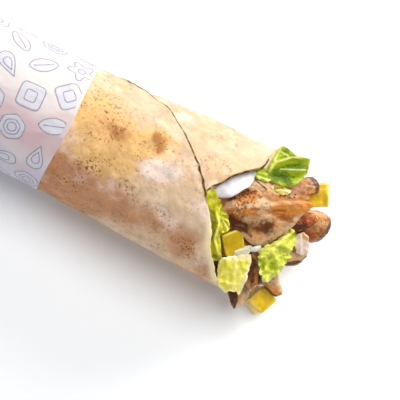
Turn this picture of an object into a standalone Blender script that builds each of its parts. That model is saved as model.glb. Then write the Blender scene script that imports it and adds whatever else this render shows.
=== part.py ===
"""A gyro wrap: a round flatbread rolled round meat, salad, sauce and dice, in a paper sleeve.

Everything is laid out in the roll's own frame, in metres. "along" runs down the roll from the
sleeve's rim (0) to the open mouth (+X), "across" is +Y and "up" is +Z from the table. Round the roll,
an angle is measured from the top towards +Y, and a depth is measured inwards from the bread's skin.
At the end the whole wrap is shifted so that its origin is the bottom centre of its box.
"""

import math

import bmesh
import bpy
import numpy as np
from mathutils import Euler, Vector, noise

MM = 0.001

# The roll and its sleeve
ROLL_RADIUS = 31.8 * MM  # bread inside the sleeve
MOUTH_RADIUS = 34.3 * MM  # bread at the open mouth
MOUTH_ALONG = 95 * MM
MOUTH_OPENING = 3.2 * MM  # how much further the far side of the mouth opens out
FLAT_DEPTH = 1.3 * MM  # how far the round belly is pressed flat where it rests
SLEEVE_STANDOFF = 0.7 * MM  # sleeve's outer face to the bread's skin
SLEEVE_THICK = 0.4 * MM
SLEEVE_BACK = -101 * MM
SLEEVE_ROUNDING = 24 * MM  # length over which its closed end is gathered in
PLEATS = 12
PLEAT_DEPTH = 0.3  # share of the radius
BREAD_BACK = -92 * MM
BREAD_ROUNDING = 20 * MM
BREAD_CLOSED = 0.95  # how much of its rounding the bread's back end goes through
BACK_ROWS = 0.3  # share of the bread's rows that lie in its rounded back end

# The flatbread: a disc, rolled up. Its round edge makes the mouth and the flap's curved edge.
DISC_RADIUS = 175 * MM
DISC_CENTRE_ALONG = -69.4 * MM
DISC_CENTRE_ANGLE = math.radians(185)
ROLLING_RADIUS = 33.4 * MM
# Where the edge strays from the round, out or in: at what angle, over what width, how far
EDGE_STRAYS = [(60, 14, 2.5), (100, 24, -4.5)]
SHEET_START = math.radians(-30)  # inner edge of the sheet, under the flap
SHEET_END = math.radians(460)  # flap's edge where it goes into the sleeve
BREAD_THICK = 1.6 * MM
LAYER_STEP = 1.95 * MM  # a layer and the gap to the next
INNER_UNTIL = math.radians(125)  # up to here the sheet lies one layer deep
OUTER_FROM = math.radians(290)  # from here on it is the outer layer

# The filling
GAP = 0.35 * MM
CARVE_GAP = 0.9 * MM  # on coarse faces, leaves a gap of at least 0.3 mm
FILLING_DEPTH = 4.0 * MM  # clear of both layers of bread
CORE_DEPTH = 4.8 * MM
CORE_BACK = -84 * MM
CORE_FRONT = 97 * MM
CORE_LEAN_FROM = 40 * MM
CORE_LEAN = 11 * MM  # how far its front falls back at the middle, and twice as far at the top
LEAF_THICK = 0.9 * MM
NEAR_LEAF_BACK = -64 * MM
NEAR_LEAF_SHOWS = 9 * MM  # how far the near leaf comes out of the mouth
SAUCE_BACK, SAUCE_FRONT = -60 * MM, 90 * MM
SAUCE_ANGLE, SAUCE_HALF_ANGLE = math.radians(33), math.radians(25)
SAUCE_LAYER, SAUCE_DOLLOP = 0.5 * MM, 4.5 * MM  # half its depth along the roll, and at its front

# Colours, roughness: baked bread, paper, roast chicken, leaf, pickle, yoghurt sauce
FINISHES = {
    "bread": ((0.86, 0.66, 0.42), 0.75),
    "paper": ((0.90, 0.86, 0.85), 0.60),
    "meat": ((0.50, 0.24, 0.12), 0.45),
    "lettuce": ((0.46, 0.56, 0.06), 0.40),
    "pale_lettuce": ((0.76, 0.74, 0.26), 0.40),
    "dice": ((0.72, 0.52, 0.05), 0.30),
    "sauce": ((0.88, 0.87, 0.84), 0.30),
}


def smooth(low, high, value):
    """0 below low, 1 above high, and a smooth step between."""
    share = np.clip((value - low) / (high - low), 0, 1)
    return share * share * (3 - 2 * share)


# ---------------------------------------------------------------- scene and materials


def clear_scene():
    for obj in list(bpy.data.objects):
        bpy.data.objects.remove(obj)


def new_collection(name):
    collection = bpy.data.collections.new(name)
    bpy.context.scene.collection.children.link(collection)
    return collection


def finish_named(name):
    """The material of that name, made on first use."""
    material = bpy.data.materials.get(name)
    if material is None:
        colour, roughness = FINISHES[name]
        material = bpy.data.materials.new(name)
        material.use_nodes = True
        shader = material.node_tree.nodes["Principled BSDF"]
        shader.inputs["Base Color"].default_value = (*colour, 1)
        shader.inputs["Roughness"].default_value = roughness
        shader.inputs["Metallic"].default_value = 0
    return material


def add_object(name, bm, finish, collection):
    """Turns a bmesh into a smooth-shaded object in the collection."""
    mesh = bpy.data.meshes.new(name)
    bm.to_mesh(mesh)
    bm.free()
    mesh.materials.append(finish_named(finish))
    mesh.shade_smooth()
    obj = bpy.data.objects.new(name, mesh)
    collection.objects.link(obj)
    return obj


# ---------------------------------------------------------------- the roll's surface


def roll_radius(along):
    """Radius of the bread's skin: it widens a little from the sleeve to the mouth."""
    return ROLL_RADIUS + (MOUTH_RADIUS - ROLL_RADIUS) * smooth(0, MOUTH_ALONG, along)


def table_clearance(along):
    """The bread rides on the sleeve up to its rim, and settles on the table beyond it."""
    return SLEEVE_STANDOFF * (1 - smooth(0, 22 * MM, along))


def bulge(along, angle):
    """Outside the sleeve the bread opens out on its far side, and gives a little over the filling."""
    opening = MOUTH_OPENING * smooth(20 * MM, MOUTH_ALONG, along) * np.maximum(np.sin(angle), 0)
    waves = np.sin(along / (17 * MM) + 2 * angle) + 0.7 * np.sin(along / (11 * MM) - 3 * angle + 1)
    off_table = np.maximum(np.cos(angle), 0)
    return opening + 0.3 * MM * waves * off_table * smooth(0, 20 * MM, along)


def rounding(along, back, length):
    """1 on the roll, falling to 0 at the back as a superellipse does."""
    share = np.clip((back + length - along) / length, 0, 1)
    return (1 - share**2.5) ** 0.4


def on_roll(along, angle, depth, shrink=1.0):
    """Point on the roll at a depth under its skin, pressed flat against the table."""
    skin = roll_radius(along) + bulge(along, angle)
    lift = table_clearance(along)
    centre = roll_radius(along) - FLAT_DEPTH + lift
    radius = (skin - depth) * shrink
    up = np.maximum(centre + radius * np.cos(angle), lift + depth)
    return np.stack([along, radius * np.sin(angle), up], axis=-1)


def mouth_edge(angle):
    """How far along the disc's nearly round edge lies at an angle of the rolled sheet."""
    spread = ROLLING_RADIUS * (angle - DISC_CENTRE_ANGLE)
    edge = DISC_CENTRE_ALONG + np.sqrt(np.maximum(DISC_RADIUS**2 - spread**2, 0))
    for at, width, amount in EDGE_STRAYS:
        edge = edge + amount * MM * np.exp(-(((angle - math.radians(at)) / math.radians(width)) ** 2))
    return edge


# ---------------------------------------------------------------- ways of making a piece


def mapped_grid(name, columns, rows, shape, finish, collection, closed=False):
    """An open sheet: a unit grid (a across its columns, b up its rows) moved to shape(a, b)."""
    bm = bmesh.new()
    bmesh.ops.create_grid(bm, x_segments=columns, y_segments=rows, size=0.5)
    unit = np.array([v.co for v in bm.verts]) + 0.5
    for vertex, point in zip(bm.verts, shape(unit[:, 0], unit[:, 1])):
        vertex.co = point
    if closed:
        bmesh.ops.remove_doubles(bm, verts=bm.verts, dist=1e-6)
    return add_object(name, bm, finish, collection)


def thicken(obj, thickness, offset):
    """Gives an open sheet its thickness: offset 1 to one side of it, 0 to both."""
    shell = obj.modifiers.new("thickness", "SOLIDIFY")
    shell.thickness = thickness
    shell.offset = offset
    shell.use_even_offset = True
    return obj


def rounded_ball(segments, rings, squareness):
    """A ball with poles on X, squared up: each point is divided by its own higher-power norm."""
    bm = bmesh.new()
    bmesh.ops.create_uvsphere(bm, u_segments=segments, v_segments=rings, radius=1)
    ball = np.array([v.co for v in bm.verts])[:, [2, 0, 1]]
    norm = (np.abs(ball) ** squareness).sum(axis=1) ** (1 / squareness)
    return bm, ball / norm[:, None]


def lumpy(points, amount, seed):
    """Swells and dents a unit shape about its X axis with smooth noise."""
    scale = np.array([3.2, 1.4, 1.4])
    swell = [1 + amount * noise.noise(Vector(p * scale) + Vector((seed, 3.1 * seed, 7.7))) for p in points]
    return points * np.stack([np.ones(len(swell)), swell, swell], axis=1)


def placed(points, place):
    """Moves points from a piece's own frame to (along, across, up, yaw, pitch, roll), mm and degrees."""
    along, across, up, yaw, pitch, roll = place
    turn = Euler([math.radians(v) for v in (roll, -pitch, yaw)], "XYZ").to_matrix()
    return points @ np.array(turn).T + np.array([along, across, up]) * MM


def strip(name, size, place, collection, taper=0.3, bend=0.0, hook=0.0, twist=0.0, seed=1.0,
          squareness=3.5, finish="meat", lumps=0.35, segments=12, rings=9):
    """A carved strip of meat: a squared ball, stretched, narrowed to its tip, bent and twisted.

    The bend droops both ends and the hook carries the tip to one side, both in millimetres.
    """
    bm, unit = rounded_ball(segments, rings, squareness)
    unit = lumpy(unit, lumps, seed)
    length, width, thick = (0.5 * v * MM for v in size)
    reach = unit[:, 0]
    narrow = 1 - taper * smooth(-0.6, 1.0, reach)
    turned = math.radians(twist) * reach
    side, rise = unit[:, 1] * width * narrow, unit[:, 2] * thick * (0.5 + 0.5 * narrow)
    hooked = hook * MM * np.maximum(reach, 0) ** 2
    points = np.stack([
        reach * length,
        hooked + side * np.cos(turned) - rise * np.sin(turned),
        side * np.sin(turned) + rise * np.cos(turned) - bend * MM * reach**2,
    ], axis=1)
    for vertex, point in zip(bm.verts, placed(points, place)):
        vertex.co = point
    return add_object(name, bm, finish, collection)


def dice(name, size, place, collection):
    """A cut cube with slightly rounded edges."""
    bm = bmesh.new()
    bmesh.ops.create_cube(bm, size=1)
    corners = np.array([v.co for v in bm.verts]) * np.array(size) * MM
    for vertex, point in zip(bm.verts, placed(corners, place)):
        vertex.co = point
    obj = add_object(name, bm, "dice", collection)
    edge = obj.modifiers.new("cut edge", "BEVEL")
    edge.width = 0.7 * MM
    edge.segments = 1
    return obj


def leaf(name, size, place, collection, cup=3.0, curl=4.0, ruffles=3.0, frill=1.5, tip=0.45, base=0.8,
         finish="lettuce", columns=8, rows=8):
    """A torn leaf: a sheet along its rib, cupped across, curled along, with a frilled margin.

    It is base times its full width where it starts, rounds off at its tip, and its frill grows
    with the square of the distance from the rib.
    """
    length, width = size[0] * MM, size[1] * MM

    def shape(a, b):
        side = 2 * a - 1
        reach = 2 * b - 1
        half = 0.5 * width * (base + (1 - base) * smooth(-1, 0.4, reach)) * (1 - tip * np.abs(reach) ** 4)
        wave = np.sin(ruffles * np.pi * reach + 1.3 * np.sign(side))
        points = np.stack([
            0.5 * length * reach * (1 - 0.12 * side**2),
            half * side,
            MM * (cup * side**2 - curl * reach**2 + frill * side**2 * wave),
        ], axis=1)
        return placed(points, place)

    return thicken(mapped_grid(name, columns, rows, shape, finish, collection), LEAF_THICK, 0)


# ---------------------------------------------------------------- keeping pieces apart


def carve(piece, neighbours, cutters):
    """Cuts each neighbour, grown by the gap, out of a piece."""
    piece.modifiers.new("flat faces", "TRIANGULATE")
    for neighbour in neighbours:
        cutter = neighbour.copy()
        cutter.name = f"cut_{piece.name}_{neighbour.name}"
        cutter.hide_render = True
        cutter.display_type = "WIRE"
        cutters.objects.link(cutter)
        grow = cutter.modifiers.new("grow", "DISPLACE")
        grow.mid_level = 0
        grow.strength = CARVE_GAP
        cutter.modifiers.new("flat faces", "TRIANGULATE")
        cut = piece.modifiers.new(f"clear of {neighbour.name}", "BOOLEAN")
        cut.operation = "DIFFERENCE"
        cut.object = cutter


# ---------------------------------------------------------------- the sleeve and the bread


def make_sleeve(collection):
    """A paper tube, gathered in pleats into the middle of its closed end."""

    def shape(a, b):
        along = np.interp(b, [0, 0.8, 1], [SLEEVE_BACK, SLEEVE_BACK + SLEEVE_ROUNDING, 0])
        angle = 2 * np.pi * a
        shrink = rounding(along, SLEEVE_BACK, SLEEVE_ROUNDING)
        gathered = smooth(0.98, 0.3, shrink)
        pleated = shrink * (1 - PLEAT_DEPTH * gathered * (0.5 + 0.5 * np.cos(PLEATS * angle)))
        return on_roll(along, angle, -SLEEVE_STANDOFF, pleated)

    sleeve = mapped_grid("paper_sleeve", 48, 8, shape, "paper", collection, closed=True)
    return thicken(sleeve, SLEEVE_THICK, 1)


def sheet_depth(angle):
    """The rolled sheet starts one layer deep and comes out to the skin."""
    return LAYER_STEP * (1 - smooth(INNER_UNTIL, OUTER_FROM, angle))


def make_bread(collection):
    """The round flatbread, rolled up, with its flap lying over its start."""

    def shape(a, b):
        angle = SHEET_START + (SHEET_END - SHEET_START) * a
        edge = mouth_edge(angle)
        waist = BREAD_BACK + BREAD_ROUNDING
        back = BREAD_BACK + (1 - BREAD_CLOSED) * BREAD_ROUNDING
        front_share = np.maximum(b - BACK_ROWS, 0) / (1 - BACK_ROWS)
        back_share = np.minimum(b / BACK_ROWS, 1)
        along = back + (waist - back) * back_share + (edge - waist) * front_share
        return on_roll(along, angle, sheet_depth(angle), rounding(along, BREAD_BACK, BREAD_ROUNDING))

    bread = mapped_grid("flatbread", 54, 10, shape, "bread", collection)
    return thicken(bread, BREAD_THICK, 1)


# ---------------------------------------------------------------- the filling


def make_core(collection):
    """The packed meat that runs through the roll. Its front leans out towards the table."""
    bm, ball = rounded_ball(18, 11, 2.0)
    angle = np.arctan2(ball[:, 1], ball[:, 2])
    across = np.hypot(ball[:, 1], ball[:, 2])
    squared_off = (np.abs(ball[:, 0]) ** 6 + across**6) ** (1 / 6)
    reach, share = ball[:, 0] / squared_off, across / squared_off
    along = 0.5 * (CORE_BACK + CORE_FRONT) + 0.5 * (CORE_FRONT - CORE_BACK) * reach
    along = along - smooth(CORE_LEAN_FROM, CORE_FRONT, along) * CORE_LEAN * (1 + np.cos(angle) * share)
    shrink = share * rounding(along, BREAD_BACK, BREAD_ROUNDING)
    for vertex, point in zip(bm.verts, on_roll(along, angle, CORE_DEPTH, shrink)):
        vertex.co = point
    return add_object("meat_core", bm, "meat", collection)


def make_meat(collection):
    """The strips at the mouth, from the top one down. Each reaches back into the roll."""
    return [
        strip("meat_slice_top", (54, 25, 7), (95, 2, 46, 24, -5, 22), collection, taper=0.8, bend=2, hook=6,
              seed=2, squareness=2.4),
        strip("meat_slice_far", (52, 16, 8), (96, 18, 37.5, 22, 0, 10), collection, taper=0.1, seed=5),
        strip("meat_knob", (54, 15, 12), (104, 4, 33, 20, -4, 0), collection, taper=-0.05, seed=8),
        strip("meat_pale", (45, 12, 11), (105.6, -5.4, 20.6, 8, -5, 10), collection, taper=0.1, seed=11),
        strip("meat_dark", (25, 7, 10), (105.5, -19.5, 32, -63, -16, 0), collection, taper=0.2, seed=14),
        strip("meat_low", (42, 10, 9), (105, -17.2, 12.4, -11, -2, 12), collection, taper=0.3, seed=17),
        strip("meat_tip", (28, 5.5, 5.5), (99.7, -28.5, 28.8, -49, -8, 0), collection, taper=0.5, seed=20),
        strip("meat_end", (21, 8, 6), (105.6, -26.8, 19.8, -42, -6, 0), collection, taper=0.1, seed=26),
        strip("meat_under", (44, 17, 11), (100, 13, 15, 12, -2, 0), collection, taper=0.25, seed=23),
        strip("meat_side", (34, 9, 13), (94, 24.3, 22, 6, 0, 12), collection, taper=0.2, seed=29),
        strip("meat_bottom", (36, 13, 6.5), (96, -2.6, 8.3, -4, 0, 0), collection, taper=0.2, seed=32),
    ]


def make_salad(collection):
    """Torn leaves: along the near wall, out of the far side, and draped over the front."""
    return [
        leaf("leaf_far", (16, 17.5), (100.8, 29.8, 48.6, 0, -4, 4), collection, cup=2, curl=1.5, frill=0.8,
             tip=0.08, base=0.9),
        leaf("leaf_front", (30, 16), (115, -7, 43, -100, -34, 0), collection, cup=-2, curl=3, frill=1.6,
             tip=0.5),
        leaf("leaf_pale", (27, 15), (103.4, -28.8, 42, -66, -40, 0), collection, cup=-2, curl=2, frill=0.8,
             finish="pale_lettuce"),
        make_near_leaf(collection),
    ]


def make_near_leaf(collection):
    """A long leaf that lines the near wall of the roll, with its frilled edge out of the mouth."""

    def shape(a, b):
        angle = math.radians(7) - math.radians(57) * a
        edge = mouth_edge(angle + 2 * np.pi) + NEAR_LEAF_SHOWS * np.sin(np.pi * (0.15 + 0.8 * a))
        along = NEAR_LEAF_BACK + (edge - NEAR_LEAF_BACK) * np.interp(b, [0, 0.67, 1], [0, 0.88, 1])
        frill = smooth(-12 * MM, 0, along - edge)
        depth = FILLING_DEPTH + LEAF_THICK + frill * MM * (1.5 + 1.2 * np.sin(22 * a))
        return on_roll(along, angle, depth)

    return thicken(mapped_grid("leaf_near", 12, 9, shape, "lettuce", collection), LEAF_THICK, 0)


def make_sauce(collection):
    """A layer of sauce under the far side of the bread, swelling to a dollop at the mouth."""
    bm, unit = rounded_ball(14, 12, 2.4)
    unit = lumpy(unit, 0.06, 4.0)
    swell = smooth(0.35, 0.8, unit[:, 0])
    along = 0.5 * (SAUCE_BACK + SAUCE_FRONT) + 0.5 * (SAUCE_FRONT - SAUCE_BACK) * unit[:, 0]
    half = SAUCE_LAYER + (SAUCE_DOLLOP - SAUCE_LAYER) * swell
    angle = SAUCE_ANGLE + SAUCE_HALF_ANGLE * unit[:, 1]
    depth = FILLING_DEPTH + GAP + half * (1 - unit[:, 2])
    for vertex, point in zip(bm.verts, on_roll(along, angle, depth)):
        vertex.co = point
    upper = add_object("sauce_dollop", bm, "sauce", collection)
    lower = strip("sauce_smear", (13, 7, 3.5), (103.4, -12.2, 43.2, 10, -10, 0), collection, taper=0.2,
                  seed=3, squareness=2.2, finish="sauce", lumps=0.15)
    return [upper, lower]


def make_dice(collection):
    """Cut cubes wedged between the strips."""
    return [
        dice("dice_far", (11, 12, 11), (118.6, 25.6, 28, 27, 0, 0), collection),
        dice("dice_near", (10, 10, 10), (93.4, -14.3, 37.6, 20, -8, -15), collection),
        dice("dice_low", (12, 11, 10), (119, -31.6, 8.2, -12, -18, 20), collection),
        dice("dice_small", (5, 5, 4), (101, 18.7, 46, 30, 10, 10), collection),
    ]


def stand_on_origin(wrap, cutters):
    """Moves everything so that the origin is the bottom centre of the whole wrap's box."""
    bpy.context.view_layer.update()
    seen = bpy.context.evaluated_depsgraph_get()
    points = np.array([v.co for obj in wrap.objects for v in obj.evaluated_get(seen).data.vertices])
    low, high = points.min(axis=0), points.max(axis=0)
    middle = Vector(((low[0] + high[0]) / 2, (low[1] + high[1]) / 2, low[2]))
    for obj in list(wrap.objects) + list(cutters.objects):
        obj.location = -middle


def main():
    clear_scene()
    wrap = new_collection("gyro_wrap")
    cutters = new_collection("cutters")
    make_sleeve(wrap)
    make_bread(wrap)
    core = make_core(wrap)
    pieces = make_meat(wrap) + make_salad(wrap) + make_sauce(wrap) + make_dice(wrap)
    carve(core, pieces, cutters)
    stand_on_origin(wrap, cutters)


main()
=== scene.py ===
"""A gyro wrap, dressed: griddled flatbread rolled round roast meat, salad, sauce and pickled dice.

The wrap lies on a table with its lower end in a paper sleeve. Shapes are worked out in the roll's own
frame, in millimetres: "along" runs from the sleeve's rim (0) to the open mouth, "across" is level, and
"up" is the height over the table. Round the roll, an angle is measured from the top towards +across, and
a depth inwards from the bread's skin. placed_in_model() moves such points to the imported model's frame.
"""

import math

import bmesh
import bpy
import numpy as np
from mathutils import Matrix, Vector
from mathutils.bvhtree import BVHTree


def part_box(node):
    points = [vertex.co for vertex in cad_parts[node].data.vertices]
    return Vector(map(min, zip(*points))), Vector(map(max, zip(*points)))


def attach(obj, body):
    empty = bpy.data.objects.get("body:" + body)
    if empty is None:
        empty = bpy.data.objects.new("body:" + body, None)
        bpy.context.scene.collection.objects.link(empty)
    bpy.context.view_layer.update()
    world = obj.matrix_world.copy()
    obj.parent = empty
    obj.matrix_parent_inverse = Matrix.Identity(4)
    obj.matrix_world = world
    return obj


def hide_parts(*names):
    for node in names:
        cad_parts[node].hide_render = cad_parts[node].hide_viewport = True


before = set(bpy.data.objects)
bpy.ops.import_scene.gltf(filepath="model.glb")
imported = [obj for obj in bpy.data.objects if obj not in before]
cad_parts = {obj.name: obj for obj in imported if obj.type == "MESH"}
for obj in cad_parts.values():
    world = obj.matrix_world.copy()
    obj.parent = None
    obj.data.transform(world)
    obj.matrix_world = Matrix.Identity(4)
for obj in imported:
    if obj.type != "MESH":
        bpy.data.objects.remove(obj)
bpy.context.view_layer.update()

bl_info = {
    "name": "Gyro Wrap",
    "version": (1, 0, 0),
    "blender": (4, 5, 0),
    "location": "View3D > Sidebar > Wrap",
    "description": "Builds the fine surface of a gyro wrap over its packed solids",
    "category": "Mesh",
}

MM = 0.001
JOINED_WITHIN = 0.002  # points of a mesh nearer than this, in millimetres, become one
TAU = 2 * math.pi

# ---------------------------------------------------------------- the roll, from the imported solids

SLEEVE_LOW, SLEEVE_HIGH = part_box("paper_sleeve")
BREAD_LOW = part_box("flatbread")[0]
RIM = SLEEVE_HIGH[0]  # where the sleeve ends and the bread shows
AXIS = (SLEEVE_LOW[1] + SLEEVE_HIGH[1]) / 2

STANDOFF = 0.7  # sleeve's outer face to the bread's skin
ROLL_RADIUS = (SLEEVE_HIGH[1] - SLEEVE_LOW[1]) / 2 / MM - STANDOFF
MOUTH_RADIUS = ROLL_RADIUS + 2.5
MOUTH_ALONG = 95
MOUTH_OPENING = 3.2
FLAT_DEPTH = 1.3
SLEEVE_BACK = (SLEEVE_LOW[0] - RIM) / MM
SLEEVE_ROUNDING = 24
PLEATS = 12
BREAD_BACK = (BREAD_LOW[0] - RIM) / MM - 1
BREAD_ROUNDING = 20
BREAD_CLOSED = 0.95

DISC_RADIUS = 175
DISC_CENTRE_ALONG = -69.4
DISC_CENTRE_ANGLE = 185
ROLLING_RADIUS = 33.4
FLAT_PER_DEGREE = 0.58  # millimetres of the flat sheet to a degree of the roll
# Where the edge strays from the round, out or in: at what angle, over what width, how far
EDGE_STRAYS = [(48, 15, 3.6), (100, 24, -3.4), (400, 16, -1.8), (430, 16, -5), (450, 12, -5)]
SHEET_START, SHEET_END = -30, 460
LAYER_STEP = 1.95
INNER_UNTIL, OUTER_FROM = 125, 290


def linear(code):
    """An sRGB hex colour as the linear red, green and blue that Blender works in."""
    shares = [int(code[i : i + 2], 16) / 255 for i in (1, 3, 5)]
    return tuple(v / 12.92 if v <= 0.04045 else ((v + 0.055) / 1.055) ** 2.4 for v in shares)


def colour_property(name, code, description):
    """A colour that the user can change, given as sRGB hex."""
    return bpy.props.FloatVectorProperty(
        name=name, description=description, subtype="COLOR", size=3, min=0, max=1, default=linear(code)
    )


def length_property(name, millimetres, description):
    """A length that the user can change, given in millimetres."""
    return bpy.props.FloatProperty(
        name=name, description=description, subtype="DISTANCE", unit="LENGTH", min=0, default=millimetres * MM
    )


class WrapSizes(bpy.types.PropertyGroup):
    """Sizes of the wrap's fine forms."""

    bread_thick: length_property("Bread thickness", 1.6, "Thickness of the flatbread")
    bread_swell: length_property("Bread swell", 0.35, "Height of the bread's soft hills and hollows")
    paper_thick: length_property("Paper thickness", 0.25, "Thickness of the sleeve's paper")
    paper_crinkle: length_property("Paper crinkle", 0.3, "Height of the creases in the paper")
    print_line: length_property("Print line", 0.5, "Width of the printed outlines")
    leaf_thick: length_property("Leaf thickness", 0.6, "Thickness of the lettuce")
    meat_fibre: length_property("Meat fibre", 0.22, "Depth of the grain in the roast meat")
    dice_edge: length_property("Dice edge", 0.8, "Rounding of the cut dice")


class WrapColours(bpy.types.PropertyGroup):
    """Colours of the wrap's finishes."""

    dough: colour_property("Dough", "#d5b898", "Flatbread where it is baked least")
    golden: colour_property("Golden bread", "#dcae6c", "Flatbread baked golden")
    toasted: colour_property("Toasted bread", "#9a5a20", "Spots where the bread touched the griddle")
    baked: colour_property("Baked bread", "#b87f55", "Flatbread baked brown")
    flour: colour_property("Flour", "#e2cebf", "Dusting of flour")
    freckle: colour_property("Freckle", "#7a481c", "Freckles that the griddle leaves")
    pale_grain: colour_property("Pale grain", "#f4e0c4", "Paler grains in the bread's skin")
    # painted highlight: the lit rounded near lip of the bread
    fold: colour_property("Fold", "#f0dfae", "Bread just behind its free near edge")
    # scorched edge and painted shadow: the dark line also stands for the shade in the gap under the lifted
    # edge
    scorch: colour_property("Scorched edge", "#3c2008", "The bread's thin edge where it is scorched")
    beside_scorch: colour_property("Beside the scorch", "#b39a35", "Bread beside its scorched edge")
    paper: colour_property("Paper", "#d2cac6", "Greaseproof paper")
    paper_backed: colour_property("Backed paper", "#c9b6b2", "Paper where the bread shows through it")
    # painted shade: rose on the near side of the sleeve's top, lilac by the table
    paper_rose: colour_property("Rose wash", "#c8abb0", "Wash of the sleeve's print towards the reader")
    paper_lilac: colour_property("Lilac wash", "#bdb4c8", "Wash of the sleeve's print by the table")
    ink_fill: colour_property("Motif fill", "#c2c0cb", "Pale ink inside the sleeve's motifs")
    ink: colour_property("Ink", "#8b8892", "Grey printing ink")
    # The slices' paint also uses pale meat for painted highlights, and browned and blushing meat for painted
    # shadow
    meat: colour_property("Roast meat", "#a8703a", "Pale inside of the roast meat")
    meat_pale: colour_property("Pale meat", "#d3ac7f", "Moist pale meat inside a slice")
    meat_golden: colour_property("Golden meat", "#cc7c28", "Roasted outside of the meat")
    meat_brown: colour_property("Browned meat", "#50260a", "Crisp browned edges of the meat")
    meat_blush: colour_property("Blushing meat", "#943c18", "Marinade and juices on the meat")
    leaf: colour_property("Leaf", "#9fb100", "Green lettuce")
    # painted shade as well as the leaf's own tone: this deeper green darkens the leaves where they lie low
    leaf_deep: colour_property("Deep leaf", "#4f6d00", "Darker green between the veins")
    leaf_rib: colour_property("Leaf rib", "#dfe07a", "Pale ribs and veins")
    leaf_pale: colour_property("Inner leaf", "#f5e87c", "Pale yellow inner leaves")
    pickle: colour_property("Pickle", "#d9b52a", "Yellow pickled pepper")
    pickle_edge: colour_property("Pickle edge", "#e0d26c", "Greenish cut edges of the pickle")
    # painted shade: the darker olive flesh given to dice that lie in shade
    pickle_ripe: colour_property("Ripe pickled pepper", "#a88c0a", "The darker flesh of riper dice")
    sauce: colour_property("Sauce", "#d3cfd2", "Yoghurt sauce")
    pepper: colour_property("Pepper", "#2a1a12", "Ground pepper and char")
    floor: colour_property("Floor", "#fcfeff", "White studio paper under the wrap")


# ---------------------------------------------------------------- smooth steps and noise


def smooth(low, high, value):
    """0 below low, 1 above high, and a smooth step between."""
    share = np.clip((value - low) / (high - low), 0, 1)
    return share * share * (3 - 2 * share)


def bump(value, middle, width):
    """A hill of height 1 at the middle that dies away over the width, as a bell curve does."""
    return np.exp(-(((value - middle) / width) ** 2))


def cell_value(cells, seed):
    """A repeatable number from -1 to 1 for each whole-number cell, mixed from its three numbers."""
    first, second, third = np.moveaxis(cells, -1, 0)
    mixed = (first * 73856093) ^ (second * 19349663) ^ (third * 83492791) ^ (seed * 2654435761)
    mixed = ((mixed ^ (mixed >> 13)) * 1274126177) & 0xFFFFFFFF
    return ((mixed ^ (mixed >> 16)) & 0xFFFF) / 32767.5 - 1


def soft_noise(points, size, seed):
    """Smooth noise from -1 to 1: each cell's eight corner values, blended by smooth steps across it."""
    scaled = np.asarray(points) / size
    cells = np.floor(scaled).astype(np.int64)
    part = scaled - cells
    part = part * part * (3 - 2 * part)
    total = np.zeros(scaled.shape[:-1])
    for corner in np.ndindex(2, 2, 2):
        weight = np.prod(np.where(corner, part, 1 - part), axis=-1)
        total += weight * cell_value(cells + np.array(corner), seed)
    return total


def rough_noise(points, size, seed, octaves=4):
    """Sum of soft noise at halving sizes and heights."""
    return sum(soft_noise(points, size / 2**k, seed + 17 * k) / 2**k for k in range(octaves))


# ---------------------------------------------------------------- the roll's surface


def roll_radius(along):
    """Radius of the bread's skin: it widens a little from the sleeve to the mouth."""
    return ROLL_RADIUS + (MOUTH_RADIUS - ROLL_RADIUS) * smooth(0, MOUTH_ALONG, along)


def on_roll(along, angle, depth, shrink=1.0):
    """Point on the roll at a depth under its skin.

    The section is a circle of the roll's radius, wider on the far side of the mouth, cut off flat where
    it meets the table.
    """
    turn = np.radians(angle)
    opening = (MOUTH_OPENING * smooth(0, 70, along) + 0.8 * bump(along, 24, 11)) * np.maximum(np.sin(turn), 0)
    waves = np.sin(along / 17 + 2 * turn) + 0.7 * np.sin(along / 11 - 3 * turn + 1)
    give = 0.3 * waves * np.maximum(np.cos(turn), 0) * smooth(0, 20, along)
    lift = STANDOFF * (1 - smooth(0, 22, along))
    centre = roll_radius(along) - FLAT_DEPTH + lift
    radius = (roll_radius(along) + opening + give - depth) * shrink
    up = np.maximum(centre + radius * np.cos(turn), lift + depth)
    return np.stack(np.broadcast_arrays(along, radius * np.sin(turn), up), axis=-1)


def rounding(along, back, length):
    """1 on the roll, falling to 0 at the back as a superellipse does."""
    share = np.clip((back + length - along) / length, 0, 1)
    return (1 - share**2.5) ** 0.4


def mouth_edge(angle):
    """How far along the disc's nearly round edge lies at an angle of the rolled sheet."""
    spread = ROLLING_RADIUS * np.radians(angle - DISC_CENTRE_ANGLE)
    edge = DISC_CENTRE_ALONG + np.sqrt(np.maximum(DISC_RADIUS**2 - spread**2, 0))
    for at, width, amount in EDGE_STRAYS:
        edge = edge + amount * bump(angle, at, width)
    return edge


def sheet_depth(along, angle):
    """The rolled sheet starts one layer deep and comes out to the skin. The far side is pressed thin."""
    far_side = bump(angle, 84, 26)
    pressed = 1 - 0.5 * far_side * smooth(72, 45, along) + 1.1 * far_side * smooth(32, 22, along)
    return LAYER_STEP * pressed * (1 - smooth(INNER_UNTIL, OUTER_FROM, angle))


def flattened(along, angle):
    """The rolled sheet's own flat coordinates, so that no pattern runs on from one layer to the next."""
    return np.dstack([along, FLAT_PER_DEGREE * angle, 0 * along])


def placed_in_model(points):
    """Moves points in millimetres from the roll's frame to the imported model's, in metres."""
    return np.asarray(points) * MM + np.array([RIM, AXIS, 0])


# ---------------------------------------------------------------- grids into meshes


def edge_spaced(count, rim, steps=5):
    """Shares from 0 to 1, evenly spaced, but bunched within the rim at each end as a round edge needs."""
    ends = rim * (1 - np.cos(np.linspace(0, math.pi / 2, steps, endpoint=False)))
    return np.concatenate([ends, np.linspace(rim, 1 - rim, count), 1 - ends[::-1]])


def round_edge(share, rim):
    """Thickness near a sheet's edge: a quarter circle over the rim at each end, and 1 between."""
    inset = np.clip(np.minimum(share, 1 - share) / rim, 0, 1)
    return np.sqrt(np.maximum(1 - (1 - inset) ** 2, 0))


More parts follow.
